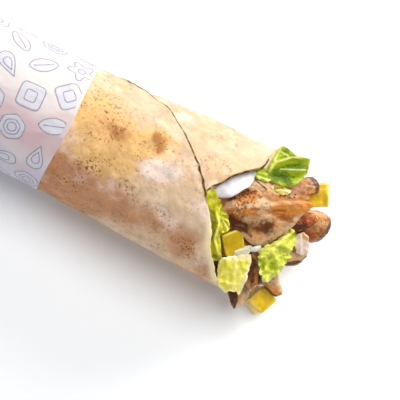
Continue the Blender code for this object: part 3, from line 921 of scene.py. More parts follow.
# Baked fields of the roll's skin: middle along and across, reach along and across, and amount
GOLDEN_FIELDS = [
    (43, 12.5, 8, 6, 0.4), (12, 10, 15, 13, 0.7), (32, 4, 14, 11, 0.55), (20, -8, 15, 8, 0.6),
    (40, 14, 9, 8, 0.35), (38, 26, 22, 9, -0.45), (8, 28, 9, 6, 0.2),
]
BAKED_FIELDS = [
    (4, -19, 13, 10, 1.0), (6, -33, 16, 8, 0.8), (26, -24, 17, 9, 0.65), (47, -22, 16, 6, 0.5),
    (60, -16, 12, 7, 0.35), (74, -23, 7, 6, 0.85), (60, -31, 14, 4, 0.3), (34, -14, 10, 5, 0.35),
    (86, -30, 6, 5, 0.5), (16, 6, 14, 9, 0.18),
]
FLOUR_FIELDS = [
    (45, 0, 8, 4.5, 1.0), (52, 4, 6, 4, 0.7), (66, -14, 11, 6, 0.25), (50, -11, 8, 5, 0.15),
    (74, -4, 8, 7, 0.35), (58, -33, 8, 4, 0.3), (67, 20, 12, 9, 0.2),
]
TOAST_FIELDS = [
    (38.6, 14.8, 2.2, 2.4, 0.8), (42.0, 13.5, 4.6, 4.2, 0.85), (43.5, 9.8, 2.4, 2.6, 0.45),
    (22.8, 8.5, 7, 4, 0.72), (16, 12, 8, 5, 0.3), (31, 0, 7, 3, 0.35), (3, -8, 5, 10, 0.5),
    (2, -22, 5, 8, 0.5), (76, -24, 5, 5, 0.4),
]

FAR_SPECKS = [[(66, 36), (71, 31), (75, 26)], [(60, 33), (66, 27)]]  # lines of specks on the far layer


def field_amount(fields, along, across):
    """Sum of the fields at each point, each a bell curve that dies away over its reach."""
    return sum(
        amount * np.exp(-(((along - at_along) / long) ** 2) - ((across - at_across) / wide) ** 2)
        for at_along, at_across, long, wide, amount in fields
    )


def bread_baking(along, angle, flat):
    """The bread's baking at each point, from 0 to 1: golden, baked brown, toasted and floury.

    Each is its fields, on the outermost layer's upper side, over a noise that is everywhere.
    """
    across = (ROLL_RADIUS + 1) * np.sin(np.radians(angle))
    shown = smooth(230, 270, angle)
    under = 1 - smooth(-0.2, 0.3, np.cos(np.radians(angle)))
    noises = [rough_noise(flat, size, seed, 3) for size, seed in ((15, 51), (13, 52), (9, 53), (12, 54))]
    far_layer = smooth(110, 100, angle) * smooth(-30, 0, angle)
    golden = 0.12 + 0.16 * noises[0] + shown * field_amount(GOLDEN_FIELDS, along, across) + 0.3 * under
    golden = golden + 0.12 * far_layer * bump(along, 66, 14)
    baked = 0.05 + 0.2 * noises[1] + shown * field_amount(BAKED_FIELDS, along, across) + 0.4 * under
    toast = 0.08 + 0.16 * noises[2] + shown * field_amount(TOAST_FIELDS, along, across) + 0.2 * under
    places = np.dstack([along, across])
    specks = bump(distance_to_line(places, FAR_SPECKS[0])[0], 0, 1.1)
    specks = specks + 0.7 * bump(distance_to_line(places, FAR_SPECKS[1])[0], 0, 1.3)
    toast = toast + 0.5 * specks * smooth(110, 100, angle) * (1 + rough_noise(flat, 1.6, 57, 2))
    flour = 0.15 + 0.25 * noises[3] + shown * field_amount(FLOUR_FIELDS, along, across)
    return {name: np.clip(value, 0, 1) for name, value in
            (("golden", golden), ("baked", baked), ("toast", toast), ("flour", flour))}


# ---------------------------------------------------------------- sleeve and its print


LAP_STEP = 0.35  # how much further out the paper lies where it laps over itself
PLEAT_DEPTH, PLEAT_SHARE = 0.5, 0.16  # of the pleats: a depth everywhere, and a share of the roll's own size


def sleeve_surface(along, angle, outwards):
    """Point on the paper sleeve, a distance out from the middle of its paper.

    The sheet winds round once and laps over itself underneath. Creases are ridges of noise: one less the
    noise's size, to the sixth power. At the back it gathers into pleats, which are deeper the nearer they
    come to the middle, and closes.
    """
    sizes = bpy.context.scene.wrap_sizes
    wound = LAP_STEP * smooth(130, 190, angle) * (angle > 0)
    shrink = rounding(along, SLEEVE_BACK, SLEEVE_ROUNDING)
    flat = flattened(0.5 * along, angle)
    creases = 1.6 * ((1 - np.abs(rough_noise(flat, 17, 71, 2))) ** 6 - 0.2)
    fine = (1 - np.abs(rough_noise(flat[..., ::-1] + flat, 8, 73, 2))) ** 6 - 0.15
    relief = sizes.paper_crinkle / MM * (creases + 0.5 * fine)
    gather = smooth(SLEEVE_BACK + SLEEVE_ROUNDING + 8, SLEEVE_BACK, along)
    turn = np.radians(angle) + 0.5 * gather
    pleats = 1 - 2 * np.abs(np.sin(PLEATS / 2 * turn + 0.5 * np.sin(3 * turn)))
    shrink = shrink * (1 + PLEAT_SHARE * gather**2 * pleats)
    depth = -(STANDOFF - LAP_STEP + wound + relief + PLEAT_DEPTH * gather * pleats)
    point = on_roll(along, angle, depth, shrink)
    out = point - np.stack(np.broadcast_arrays(along, 0 * angle, 0 * angle + ROLL_RADIUS), axis=-1)
    point = point + outwards * out / np.maximum(np.linalg.norm(out, axis=-1, keepdims=True), 1e-3)
    floor_level = sizes.paper_thick / MM / 2 + 0.02
    point[..., 2] = np.maximum(point[..., 2], floor_level + outwards - 0.1)
    return point


SLEEVE_FROM, SLEEVE_TO = -170, 214
SLEEVE_ROWS, SLEEVE_END_ROWS, SLEEVE_COLUMNS = 130, 60, 230
BREAD_SHADOW = (-38, -2)  # where along the bread begins to show through the paper, and where it does fully


def build_sleeve():
    """The paper sleeve: one sheet from its rim back to the gathered end, as sleeve_surface gives it."""
    sizes = bpy.context.scene.wrap_sizes
    rows, columns = edge_spaced(SLEEVE_ROWS, 0.004), edge_spaced(SLEEVE_COLUMNS, 0.003)
    angle = SLEEVE_FROM + (SLEEVE_TO - SLEEVE_FROM) * columns[None]
    wavy = flattened(FLAT_PER_DEGREE * angle, 0 * angle)
    rim_line = 0.2 * rough_noise(wavy, 14, 81, 2) + 1.6 * bump(angle, 2, 38)
    # the last rows follow the rounded end: evenly round its curve, not along
    front = SLEEVE_BACK + SLEEVE_ROUNDING
    curve = np.sin(np.linspace(math.pi / 2 - 0.0015, 0, SLEEVE_END_ROWS, endpoint=False))[:, None] ** 0.8
    behind = front - SLEEVE_ROUNDING * curve + 0 * rim_line
    along = np.concatenate([behind, front + (rim_line - front) * rows[:, None]])
    rows = np.concatenate([np.full(SLEEVE_END_ROWS, 0.5), 0.5 + rows / 2])
    angle = np.broadcast_to(angle, along.shape)
    middle = sleeve_surface(along, angle, 0)
    thick = sizes.paper_thick / MM * round_edge(rows[:, None], 0.002) * round_edge(columns[None], 0.0015)
    flat = flattened(along, angle)
    backed = smooth(*BREAD_SHADOW, along) * (0.7 + 0.5 * rough_noise(flat, 16, 83, 2))
    cloud = rough_noise(flat, 13, 85, 3)
    # painted shade: the rose tint on the sleeve's near side and the lilac one by the table, each broken by a
    # cloud
    by_the_table = smooth(-28, -52, angle) * smooth(-165, -120, angle)
    tints = {"backed": backed, "rose": bump(angle, -14, 20) * (0.9 + 0.6 * cloud),
             "lilac": by_the_table * (0.85 + 0.4 * cloud)}
    tints = {name: np.clip(tint, 0, 1) for name, tint in tints.items()}
    piece = make_sheet("sleeve_sheet", middle, thick, tints, paper_finish())
    finish_piece(piece, "paper", "paper_sleeve")


def motif_lines():
    """The print's motifs in a square of one: leaf, flower, drop, dice and onion ring.

    Each is a list of lines. The first is the outline that is filled.
    """
    turn = np.linspace(0, TAU, 61)
    ways = np.stack([np.cos(turn), np.sin(turn)], 1)
    leaf = ways * [1, 0.52] * np.abs(np.sin(turn))[:, None] ** [0, 0.4]
    flower = ways * (0.76 + 0.22 * np.cos(5 * turn))[:, None]
    drop = np.stack([0.95 * np.cos(turn), 0.75 * np.sin(turn) * np.sin(turn / 2) ** 1.5], 1)
    dice = 0.82 * ways * (np.abs(ways) ** 6).sum(axis=1, keepdims=True) ** (-1 / 6)
    onion = ways * (0.85 + 0.03 * np.cos(6 * turn))[:, None]
    vein = np.array([(-0.75, 0), (0.7, 0)])
    onion_ring = [onion, 0.62 * onion, 0.3 * ways]
    return [[leaf, vein], [flower, 0.25 * ways], [drop, 0.5 * drop], [dice, 0.45 * dice], onion_ring]


def dense_line(line, step):
    """The line with points added so that none is further than a step from the next."""
    sides = np.linalg.norm(np.diff(line, axis=0), axis=1)
    travelled = np.concatenate([[0], np.cumsum(sides)])
    at = np.linspace(0, travelled[-1], max(int(travelled[-1] / step) + 2, 3))
    return np.stack([np.interp(at, travelled, line[:, k]) for k in (0, 1)], axis=1)


PITCH_ALONG, PITCH_AROUND = 15.6, 17.4  # from one motif's middle to the next's
MOTIF_REACH = 7.2
INK_THICK, LINES_OFF, FIELDS_OFF = 0.02, 0.07, 0.03  # the film, and how far its lines and fields lie off


def build_print():
    """The sleeve's print: every motif's lines as ribbons of ink, over a paler field that fills its outline.

    Motifs stand in staggered rows round the sleeve, each turned by its own amount. A ribbon's two sides
    are its line moved half its width to either side. A field is its outline shrunk to its middle in
    rings. All lie just off the paper's outer face.
    """
    sizes, colours = bpy.context.scene.wrap_sizes, bpy.context.scene.wrap_colours
    half = sizes.print_line / MM / 2
    random = np.random.default_rng(7)
    around = ROLL_RADIUS + STANDOFF
    films = {"sleeve_print": ([], []), "sleeve_print_fields": ([], [])}
    motifs = motif_lines()
    shrinking = np.linspace(1, 0, 10)[:, None, None]
    for row, centre_along in enumerate(np.arange(-6.0, SLEEVE_BACK + 18, -PITCH_ALONG)):
        for column, centre_angle in enumerate(np.arange(-158, 172, math.degrees(PITCH_AROUND / around))):
            turned = random.uniform(0, TAU)
            ways = np.array([(math.cos(turned), math.sin(turned)), (-math.sin(turned), math.cos(turned))])
            stagger = PITCH_AROUND / 2 * (row % 2)
            middle = np.array([centre_along, math.radians(centre_angle) * around + stagger])
            middle = middle + random.uniform(-1, 1, 2)
            motif = motifs[(row * 2 + column * 3 + (row * column) % 2) % len(motifs)]
            motif = [dense_line(line * MOTIF_REACH, 0.8) @ ways for line in motif]
            for line in motif:
                way = np.gradient(line, axis=0)
                way /= np.maximum(np.linalg.norm(way, axis=1, keepdims=True), 1e-6)
                side = np.stack([-way[:, 1], way[:, 0]], axis=1) * half
                ribbon = middle + np.stack([line + side, line - side])
                add_film(films["sleeve_print"], ribbon, around, LINES_OFF)
            add_film(films["sleeve_print_fields"], middle + motif[0] * shrinking, around, FIELDS_OFF)
    for name, ink, label in (("sleeve_print", colours.ink, "grey printing ink"),
                             ("sleeve_print_fields", colours.ink_fill, "pale printing ink")):
        points, quads = films[name]
        piece = make_piece(name, np.concatenate(points), np.concatenate(quads), {}, ink_finish(label, ink))
        solid = piece.modifiers.new("film", "SOLIDIFY")
        solid.thickness = INK_THICK * MM
        finish_piece(piece, "paper")


def add_film(film, flat, around, off):
    """Lays a grid of the sleeve's flat coordinates on the paper, a distance off it, faces outward."""
    points, quads = film
    sizes = bpy.context.scene.wrap_sizes
    along = np.minimum(flat[..., 0], -0.4)
    placed = sleeve_surface(along, np.degrees(flat[..., 1] / around), sizes.paper_thick / MM / 2 + off)
    faces = grid_quads(*flat.shape[:2]) + sum(len(some) for some in points)
    # a face's turn in the flat sheet tells which way it looks
    first, second = flat[1, 0] - flat[0, 0], flat[0, 1] - flat[0, 0]
    if first[0] * second[1] - first[1] * second[0] < 0:
        faces = faces[:, ::-1]
    points.append(placed.reshape(-1, 3))
    quads.append(faces)


# ---------------------------------------------------------------- filling


# Each slice: the solid it stands for (or none), middle surface, thickness, direction of grain, paint and
# outline. Paint and outline are in the roll's along and across. Besides the meat's own colours, the paint
# holds painted shadow and painted highlights, marked where they lie.
TOP_RIDGE = ((83, 0), (117, 20.5))
SLICES = {
    "top": ("meat_slice_top", ridged(*TOP_RIDGE, 49.6, 0.42, 0.25), 5.0, 31,
        # painted shadow: the first brown line lies where the sauce shades the slice
        [("brown", [(80, 3), (84, 7), (89, 12), (91, 14)], 1.1, 0.9),
         ("golden", [(85, 8), (90, 11.5)], 2.6, 0.8), ("brown", [(89, 12), (87.5, 10)], 0.7, 0.5),
         # painted highlight: the first pale line here stands for cream highlights on the crisp top
         ("pale", [(83, 3), (87, 6), (91.5, 8)], 1.5, 0.9), ("pale", [(92, 12.5), (97, 11.5)], 2.4, 0.8),
         # painted highlight: this pale line runs along the lit crest of the ridge
         ("pale", [(94, 8), (99, 10), (106, 14), (113, 17.5)], 1.6, 0.9),
         ("golden", [(104, 10.5), (108, 13), (117, 18.5)], 2.2, 1.15),
         ("blush", [(93.5, 5.5), (96.5, 7)], 0.9, 0.6), ("blush", [(96, 3.5), (98, 4.5)], 0.6, 0.5),
         ("golden", [(92, 3.5), (95, 4.5)], 1.4, 0.5), ("blush", [(85, -3), (92, -4.5)], 3, 0.9),
         ("brown", [(87, -3.5), (94, -4)], 2.4, 0.55), ("pale", [(95, 0.5), (103, 5.5)], 2.6, 0.9),
         ("golden", [(101, -2), (104, 1.5), (106, 4)], 1.3, 0.3),
         ("brown", [(99.5, -2.5), (103, 0), (105, 3)], 1.2, 0.18),
         ("brown", [(103, 9.5), (105, 10.5), (108, 12)], 0.7, 0.3),
         ("blush", [(107, 9), (112, 9)], 1.6, 0.5),
         # pale lower edge: partly the meat's own pale edge and partly a painted highlight
         ("pale", [(101, -5.5), (108, 0), (115, 9), (117.5, 15)], 2.2, 1.4),
         ("pale", [(96, -7.5), (105, -6.5)], 2.2, 1.0), ("brown", [(95, -5), (99, -6)], 1.2, 0.4),
         ("brown", [(90, 1), (104, 0)], 5, 0.34), ("brown", [(99, 1), (107, 3)], 3.5, 0.07),
         # painted highlights: the two thin pale curves
         ("pale", [(93, 5), (99, 2.5), (103, -2)], 0.9, 0.9),
         ("pale", [(98, 6.5), (104, 5), (110, 6)], 1.1, 0.8)],
        [(72, -6), (74, 2), (80, 6), (84, 11), (87.5, 16), (90, 18), (94, 17.5), (99, 16.5), (105, 17),
         (110.5, 19.5), (116.5, 21), (118.8, 20.3), (116, 14.5), (114.5, 9), (112, 0.5), (109, -4),
         (105.5, -8.5), (100, -9.5), (95, -8), (90, -7), (84, -8)]),
    "far": ("meat_slice_far", tilted(40, (105, 22), 0, -0.25, 0.006), 5.0, 20,
        [("golden", [(106, 21), (115, 26)], 5, 0.15), ("blush", [(106, 24), (114, 25)], 3.5, 0.1),
         ("brown", [(104, 22), (113, 25)], 5, 0.4),
         ("brown", [(112, 32), (117, 29.5), (118.5, 26)], 1.3, 0.6),
         ("golden", [(103, 20), (109, 19)], 2, 0.5)],
        [(76, 10), (80, 22), (89, 22), (93.5, 22), (99, 22), (104.5, 23.5), (107, 27), (109.5, 30.5),
         (112.5, 32), (115, 31), (117.5, 29), (118, 26.5), (116, 24.5), (115.5, 20), (110, 12), (100, 8)]),
    "fold": (None, tilted(47.5, (97, 18), -0.14, 0), 4.0, 15,
        [("pale", [(90, 17), (96, 17.5), (103, 15)], 3.2, 1.4),
         ("brown", [(89.2, 18), (91.5, 17.6), (94.5, 17), (97.2, 15.8), (101, 15.6), (105.2, 16.7)],
          0.4, 0.8),
         ("brown", [(91, 15.4), (94, 15.2), (97, 14.4)], 0.4, 0.4)],
        [(86, 13), (87, 17), (90, 20.2), (94, 20.6), (99, 19), (104.5, 16.5), (104, 14.5), (98, 14),
         (93, 14), (89, 13)]),
    "knob": ("meat_knob", tilted(32.5, (123, 11), -0.1, 0.15, 0.02), 9, 70,
        # painted shadow: the blush and brown from (115, 7) to (124, 6) darken the recess between the top
        # slice and the knob
        [("blush", [(118, 5.5), (124, 6)], 2.5, 0.7), ("brown", [(115, 7), (118, 5)], 2.5, 0.9),
         ("pale", [(122, 15), (129, 14)], 2, 0.25), ("blush", [(121, 10), (127, 9)], 4, 0.3),
         ("brown", [(121, 9), (128, 11)], 5, 0.33), ("brown", [(130, 15), (131, 10)], 0.8, 0.6),
         ("pale", [(118, 18), (124, 19)], 1.5, 0.6)],
        [(100, 2), (100, 14), (115.5, 14), (116.5, 15), (118.5, 17.5), (122, 19), (125.5, 19.5),
         (128.5, 18.5), (130.5, 15.5), (130.8, 12), (129.5, 8.5), (127.5, 5.5), (125, 3.8), (121, 4),
         (112, 1)]),
    "knob_flap": (None, tilted(37.5, (120, 12), -0.12, 0.1), 4, 20,
        [("golden", [(116, 12), (124, 14)], 2.5, 1.0), ("pale", [(118, 15), (123, 16.5)], 1.2, 0.7),
         # painted shadow: the blush and brown along the flap's lower edge darken the same recess
         ("blush", [(115, 9), (120, 11.5)], 3.4, 1.4), ("brown", [(114, 6), (119, 8.5)], 2.4, 1.0)],
        [(112, 10), (115.5, 14), (117, 15), (120.3, 16.3), (124.1, 15.8), (123.3, 13), (120.1, 10),
         (118.3, 6), (114, 5)]),
    "pale_end_slice": ("meat_pale", tilted(27, (122, -3), -0.1, 0.1, 0.012), 8, 60,
        [("pale", [(120, 4), (122, -4)], 4.5, 1.4), ("golden", [(123, 4), (121, 6)], 1.5, 0.6),
         ("brown", [(121, -9.8), (126, -7)], 1.4, 1.0), ("brown", [(127, -3), (127.5, -6)], 0.9, 0.6)],
        [(96, -8), (100, 5), (115, 6), (119.5, 7), (123.5, 6.5), (125, 2.5), (126.5, -0.5), (127.5, -3.5),
         (126, -7.5), (123, -10), (120, -11), (108, -10)]),
    "dark_strip": ("meat_dark", tilted(33, (109, -19), -0.3, 0.25), 6, -70,
        [("golden", [(106, -13), (110, -22)], 3.5, 0.7), ("pale", [(108, -18), (111, -25)], 2, 0.5),
         ("brown", [(103, -12), (106, -24)], 1.5, 0.9), ("brown", [(105, -13), (110, -26)], 1.6, 0.5),
         ("brown", [(108, -14), (113, -24)], 1.2, 0.7)],
        [(100, -10), (105.5, -9), (108, -15.5), (112, -21), (114, -22.5), (112, -25.5), (111, -28.5),
         (107, -27), (102, -20)]),
    "low_strip": ("meat_low", tilted(13, (119, -21), -0.1, 0.1), 8, 10,
        [("pale", [(115, -19), (123, -22.5)], 2.6, 1.1), ("golden", [(118, -24), (124, -25)], 1.5, 0.5),
         ("brown", [(112, -24.5), (123, -27)], 1.2, 0.8)],
        [(90, -12), (105, -10), (118, -15.5), (120, -17), (122, -20), (125.5, -22.5), (125.5, -24),
         (123, -27), (120, -26), (112, -23), (98, -20)]),
    "tip": ("meat_tip", tilted(28, (104, -35), -0.1, 0.15), 4.5, -60,
        [("brown", [(105, -32), (106, -40)], 4, 0.8)],
        [(96, -26), (101, -25), (106, -32), (107.5, -35.5), (108.3, -40.5), (106, -39.5), (103, -36),
         (98, -31)]),
    "pale_end": ("meat_end", tilted(20, (109, -31), -0.1, 0.05), 5.5, -75,
        [("pale", [(106, -26), (109, -38)], 4, 1.2)],
        [(100, -24), (107, -22.5), (110.5, -27.5), (111.5, -31.5), (111, -35.5), (109.5, -39.5),
         (107, -37.5), (103, -32)]),
    "under_strip": ("meat_under", tilted(15.2, (100, 12), 0.02, 0), 9.5, 8, [],
        [(82, 3), (84, 20), (100, 22), (116, 21), (121, 14), (119, 6), (108, 2.5), (95, 2)]),
    "side_strip": ("meat_side", tilted(21.5, (95, 24), 0, 0.2), 12, 12, [],
        [(80, 19), (84, 28), (98, 29.5), (110, 28), (111, 22), (100, 18.5)]),
    "bottom_strip": ("meat_bottom", tilted(8.4, (96, -2), 0, 0), 5.5, 5, [],
        [(80, -8), (80, 3), (98, 4), (113, 2), (113.5, -5), (100, -9)]),
}
# Strips between the named slices: middle along, across and up, half length and width, and turn
FILL_STRIPS = [
    (96, 12, 27, 12, 6, 15), (99, -4, 33, 13, 6, -10), (98, 22, 31, 10, 5, 30), (100, -20, 23, 11, 5, 5),
    (97, -13, 29, 12, 5, 20), (102, 4, 40, 13, 6, 12), (101, -9, 37, 11, 5, -18), (104, 14, 34, 12, 5, 24),
]


def build_meat():
    """The roast meat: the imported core, the slices at the mouth and the strips between them."""
    build_core()
    for seed, (name, (stands_for, height, thick, grain, paint, corners)) in enumerate(SLICES.items()):
        piece = make_slice("roast_" + name, corners, height, thick, grain, seed + 101, paint)
        finish_piece(piece, "meat", *([stands_for] if stands_for else []))
    shape = np.array([(-1, -0.6), (-0.9, 0.8), (0, 1), (0.8, 0.7), (1, 0), (0.7, -0.9), (0, -1)])
    for number, (along, across, up, long, wide, yaw) in enumerate(FILL_STRIPS):
        turn = math.radians(yaw)
        ways = np.array([(math.cos(turn), math.sin(turn)), (-math.sin(turn), math.cos(turn))])
        corners = shape * (long, wide) @ ways + np.array((along, across))
        piece = make_slice("roast_strip_%d" % number, corners, tilted(up, (along, across), -0.1, 0.1), 6, yaw,
                           number + 201, rings=30, count=80)
        finish_piece(piece, "meat")


CORE_END, CORE_DEPTH = 84, 5.6  # how far it reaches each way along, and its depth under the skin
CORE_ROWS, CORE_COLUMNS = 110, 120


def build_core():
    """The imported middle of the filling: a round lumpy roll under the bread, rounded at both ends."""
    along = np.linspace(-CORE_END, CORE_END, CORE_ROWS)[:, None]
    turn = np.linspace(0, 360, CORE_COLUMNS, endpoint=False)[None]
    ends = rounding(along, -CORE_END, 18) * rounding(-along, -CORE_END, 14)
    grid = on_roll(along + 0 * turn, turn + 0 * along, CORE_DEPTH)
    middle = np.dstack([grid[..., 0], 0 * grid[..., 1], 0 * grid[..., 2] + ROLL_RADIUS])
    lumps = rough_noise(grid, 7, 301, 3)
    grid = middle + (grid - middle) * ends[..., None] * (1 + lumps[..., None] * 0.015)
    amounts = {"golden": 0.3, "pale": 0.2, "brown": 0.35, "blush": 0.2}
    values = {kind: amount + 0 * lumps for kind, amount in amounts.items()}
    piece = make_piece("roast_packed", grid, grid_quads(CORE_ROWS, CORE_COLUMNS, True), values, meat_finish())
    finish_piece(piece, "meat", "meat_core")


# Ribs and folds of single leaves
FAR_RIB = [(92.8, 25), (93.3, 29.6), (99, 35.1), (106.1, 38.8)]
NEAR_RUFFLE = [(79.6, -3.9), (82.9, -7.5), (84.2, -14.8), (88.3, -19.3), (91.8, -20.4)]
PALE_TOP = [(89.5, -21.8), (96, -18), (103, -13.4)]
# Each leaf: its name, the solid it stands for (or none), finish slot, finish, middle surface, outline, ribs,
# and what make_leaf needs besides
LEAVES = [
    ("lettuce_far", "leaf_far", "lettuce", "green lettuce", tilted(50, (99, 31), -0.1, 0.1, 0.003),
     [(92.4, 38.5), (97, 38), (100.5, 37), (104, 38), (107, 38.5), (108.5, 34.5), (109, 31.5), (108, 28.5),
      (107, 24.5), (104.5, 22.5), (101.5, 21.5), (98, 21), (94, 20.5), (91.7, 24), (91.5, 27.5), (91.6, 33)],
     [FAR_RIB, [(92.8, 25), (92.7, 38)], [(92.9, 35.3), (97.8, 35.1)], [(97, 28), (107.5, 33)]],
     dict(seed=1, frill=0.6, frill_size=4, blister=0.25, rib_width=0.55, side_veins=60,
          folds=[(FAR_RIB, 1.2, 1.8), ([(100.9, 28.2), (106.9, 31.8)], 1.0, 1.6),
                 ([(93, 20.8), (101, 22.3), (107.4, 25.7)], 1.3, 1.5),
                 ([(96, 27.5), (101, 31.5), (106, 34)], -0.3, 1.2), ([(96, 23.5), (105, 28)], -0.4, 1.2)],
          # painted shade: deeper green along the shaded bands between the folds
          hollows=[([(95.5, 26), (101, 30.5), (106, 33)], 1.8, 0.8), ([(94.5, 22), (103, 25)], 1.8, 0.8),
                   ([(95, 33), (100, 36)], 1.0, 0.5)])),
    ("lettuce_far_bit", None, "lettuce", "green lettuce", tilted(51, (90, 22), -0.1, -0.1),
     [(85, 20), (89, 25), (91, 25), (92.5, 23.5), (96, 21.5), (93, 19.5), (88.5, 19)],
     [[(86, 20), (95, 21)]],
     dict(seed=2, frill=0.8, frill_size=2, rings=30, count=90,
          folds=[([(87, 21), (92, 22.5)], 0.8, 1.0)])),
    ("lettuce_frilly", "leaf_front", "lettuce", "yellow-green lettuce",
     tilted(43, (110, -8), -0.55, 0.05, 0.01),
     [(115, 8), (117.5, 5.5), (119.5, 3), (119.5, -4), (120, -7.5), (119, -12), (119, -15.5), (117, -18.5),
      (116, -21), (114, -22.5), (111.5, -20.5), (108.5, -16.5), (106.5, -12.5), (105.5, -8.5),
      (108.5, -5.5), (111, -2.5), (112, 2), (113.5, 5.5)],
     [[(106, -9), (111, -7), (113, -1), (116, 5)]],
     dict(seed=3, frill=2.4, frill_size=2.4, blister=1.0, blister_size=2.6, tear=0.9, side_veins=60,
          folds=[([(107, -10), (113, -9), (118, -12)], 1.2, 1.5), ([(112, -4), (119, -3)], 1.3, 1.3),
                 ([(112, -17), (118, -16)], 1.2, 1.2)])),
    ("lettuce_near", "leaf_near", "lettuce", "yellowing lettuce", under_skin(3.6, -0.1, 84),
     [(66, 6), (74.5, 5.5), (76.6, 4), (78.6, 2), (80.5, -1), (83.5, -6.5), (86, -12), (89.3, -17.5),
      (91.5, -21), (90, -24), (84, -23), (72, -14), (64, 0)],
     [NEAR_RUFFLE],
     dict(seed=4, frill=1.1, frill_size=2.2, blister=0.4, blister_size=2.2, tear=0.9, rib_width=0.5,
          side_veins=60,
          folds=[(NEAR_RUFFLE, 1.1, 0.8)],
          hollows=[([(77.3, -4.9), (82.7, -13.7)], 1.8, 1.0)])),
    ("lettuce_near_frill", None, "lettuce", "yellowing lettuce", under_skin(7.5, -0.25, 84),
     [(78, 0), (81, 0.5), (83.5, -1.5), (87, -4.5), (88.6, -7), (87.5, -9.5), (86, -12), (83, -11),
      (79, -5)],
     [[(79, -3), (88, -8)]],
     dict(seed=6, frill=1.2, frill_size=1.8, blister=0.6, tear=0.6, rings=40, count=140)),
    ("lettuce_pale", "leaf_pale", "pale_lettuce", "pale inner lettuce",
     tilted(48.5, (92, -22), -0.28, 0.36, 0.008),
     [(90, -21.6), (93, -19.6), (96, -17.8), (99.5, -15.4), (103, -13.2), (104.6, -16.5), (105.2, -20),
      (106, -23), (106.4, -26), (106.6, -29), (106.7, -31), (106.6, -33.4), (104.6, -32), (103.4, -33.2),
      (101.6, -33.4), (100.6, -35.2), (98.8, -35), (96, -33.2), (94.6, -31.4), (93.2, -29), (91.8, -25.5)],
     [PALE_TOP, [(103.4, -14), (105, -20), (106.2, -29)]],
     dict(seed=5, thick=1.2, frill=1.1, frill_size=3, blister=0.7, blister_size=2.6, rib_width=1.5,
          side_veins=60,
          folds=[([(94.3, -22), (99.7, -31.6)], 0.9, 0.9), ([(97.7, -19.3), (102.7, -31)], 0.8, 0.9),
                 ([(101.5, -18.5), (104, -28.7)], 0.8, 0.9), ([(96, -31.5), (103, -29.5)], 0.8, 0.8)],
          hollows=[([(93.5, -22.5), (98, -26)], 2.6, 0.8), ([(102, -19.5), (103.5, -22)], 1.8, 0.8),
                   ([(96.5, -30.5), (100, -33)], 1.6, 0.8)])),
    ("onion_sliver", None, "pale_lettuce", "white onion", tilted(45.2, (98, -14), -0.1, 0.15),
     [(94, -17.5), (96, -14.5), (99, -11), (101.5, -9.5), (102, -12), (101.5, -15.5), (98, -18)],
     [[(94, -17), (101, -11)]],
     dict(seed=7, thick=1.6, frill=0.3, blister=0.2, rings=30, count=100)),
    ("lettuce_sliver", None, "pale_lettuce", "pale inner lettuce", tilted(47.5, (101, 19), -0.12, 0),
     [(96.5, 19), (98.5, 21.2), (102.8, 21.3), (106.4, 21.5), (105.6, 19), (102.3, 17.3), (98.7, 17)],
     [[(97, 19), (106, 20.5)]],
     dict(seed=8, thick=0.8, frill=0.5, rings=30, count=100,
          folds=[([(97, 18), (105, 20)], 0.6, 1.0)])),
    ("onion_end", None, "pale_lettuce", "rosy onion", tilted(36.2, (121, 3), -0.3, 0.35),
     [(118, 4.5), (120.2, 7.2), (123.8, 6), (126, 1.5), (125.4, -3.4), (121.8, -3.2), (118.6, 0.5)],
     [[(120, 5), (124, -2)]],
     dict(seed=9, thick=1.2, frill=0.4, blister=0.25, rings=30, count=100,
          hollows=[([(118, 6), (123.5, 6)], 1.8, 1.0)])),
    ("lettuce_rib", None, "lettuce", "lettuce rib", tilted(50.1, (92, 30), -0.1, 0.1),
     [(88, 25), (89.5, 30), (91, 35), (92.8, 37.4), (93.4, 34), (93.6, 28), (93.2, 22), (89.5, 22)],
     [[(90, 24), (92.5, 36)]],
     dict(seed=10, thick=1.0, frill=0.2, blister=0.2, rings=30, count=100)),
]
# The deeper tints here also carry painted shade, where the leaves lie low and in their hollows
LEAF_COLOURS = {
    "pale inner lettuce": ("#d6cf3a", "#f2e0b4", "#efe2b8", 0.5),
    "yellowing lettuce": ("#c0ba18", "#7e7c06", "#e6e06a", "#dcd65a", 0.3),
    "white onion": ("#c9c2a0", "#aaa890", "#dcd8c4", "#e4dfd0", 0.5),
    "rosy onion": ("#dcc6b6", "#bd8646", "#eadccf", "#e2cdbd", 0.4),
    "lettuce rib": ("#e2cd96", "#c2a862", "#f0e0b4", "#dcc88c", 0.4),
}


def leaf_finishes():
    """The leaves' finishes by name: flesh, its deeper tint (its own tone and painted shade), ribs, rim, and
    how much the rim shows.
    """
    colours = bpy.context.scene.wrap_colours
    halfway = tuple(0.68 * a + 0.32 * b for a, b in zip(colours.leaf, colours.leaf_pale))
    shades = {name: (*map(linear, codes), share) for name, (*codes, share) in LEAF_COLOURS.items()}
    pale_tints = shades.pop("pale inner lettuce")
    shades["green lettuce"] = (colours.leaf, colours.leaf_deep, colours.leaf_rib, colours.leaf_rib, 0.2)
    shades["yellow-green lettuce"] = (halfway, colours.leaf, colours.leaf_pale, colours.leaf_pale, 0.4)
    shades["pale inner lettuce"] = (colours.leaf_pale, *pale_tints)
    return {name: leaf_finish(name, *shade) for name, shade in shades.items()}


def build_leaves():
    """The lettuce, and the slivers of onion among it."""
    finishes = leaf_finishes()
    for name, stands_for, slot, finish, height, corners, ribs, details in LEAVES:
        piece = make_leaf(name, corners, height, finishes[finish], ribs, **details)
        finish_piece(piece, slot, *([stands_for] if stands_for else []))


SAUCE_SWELL = 0.8


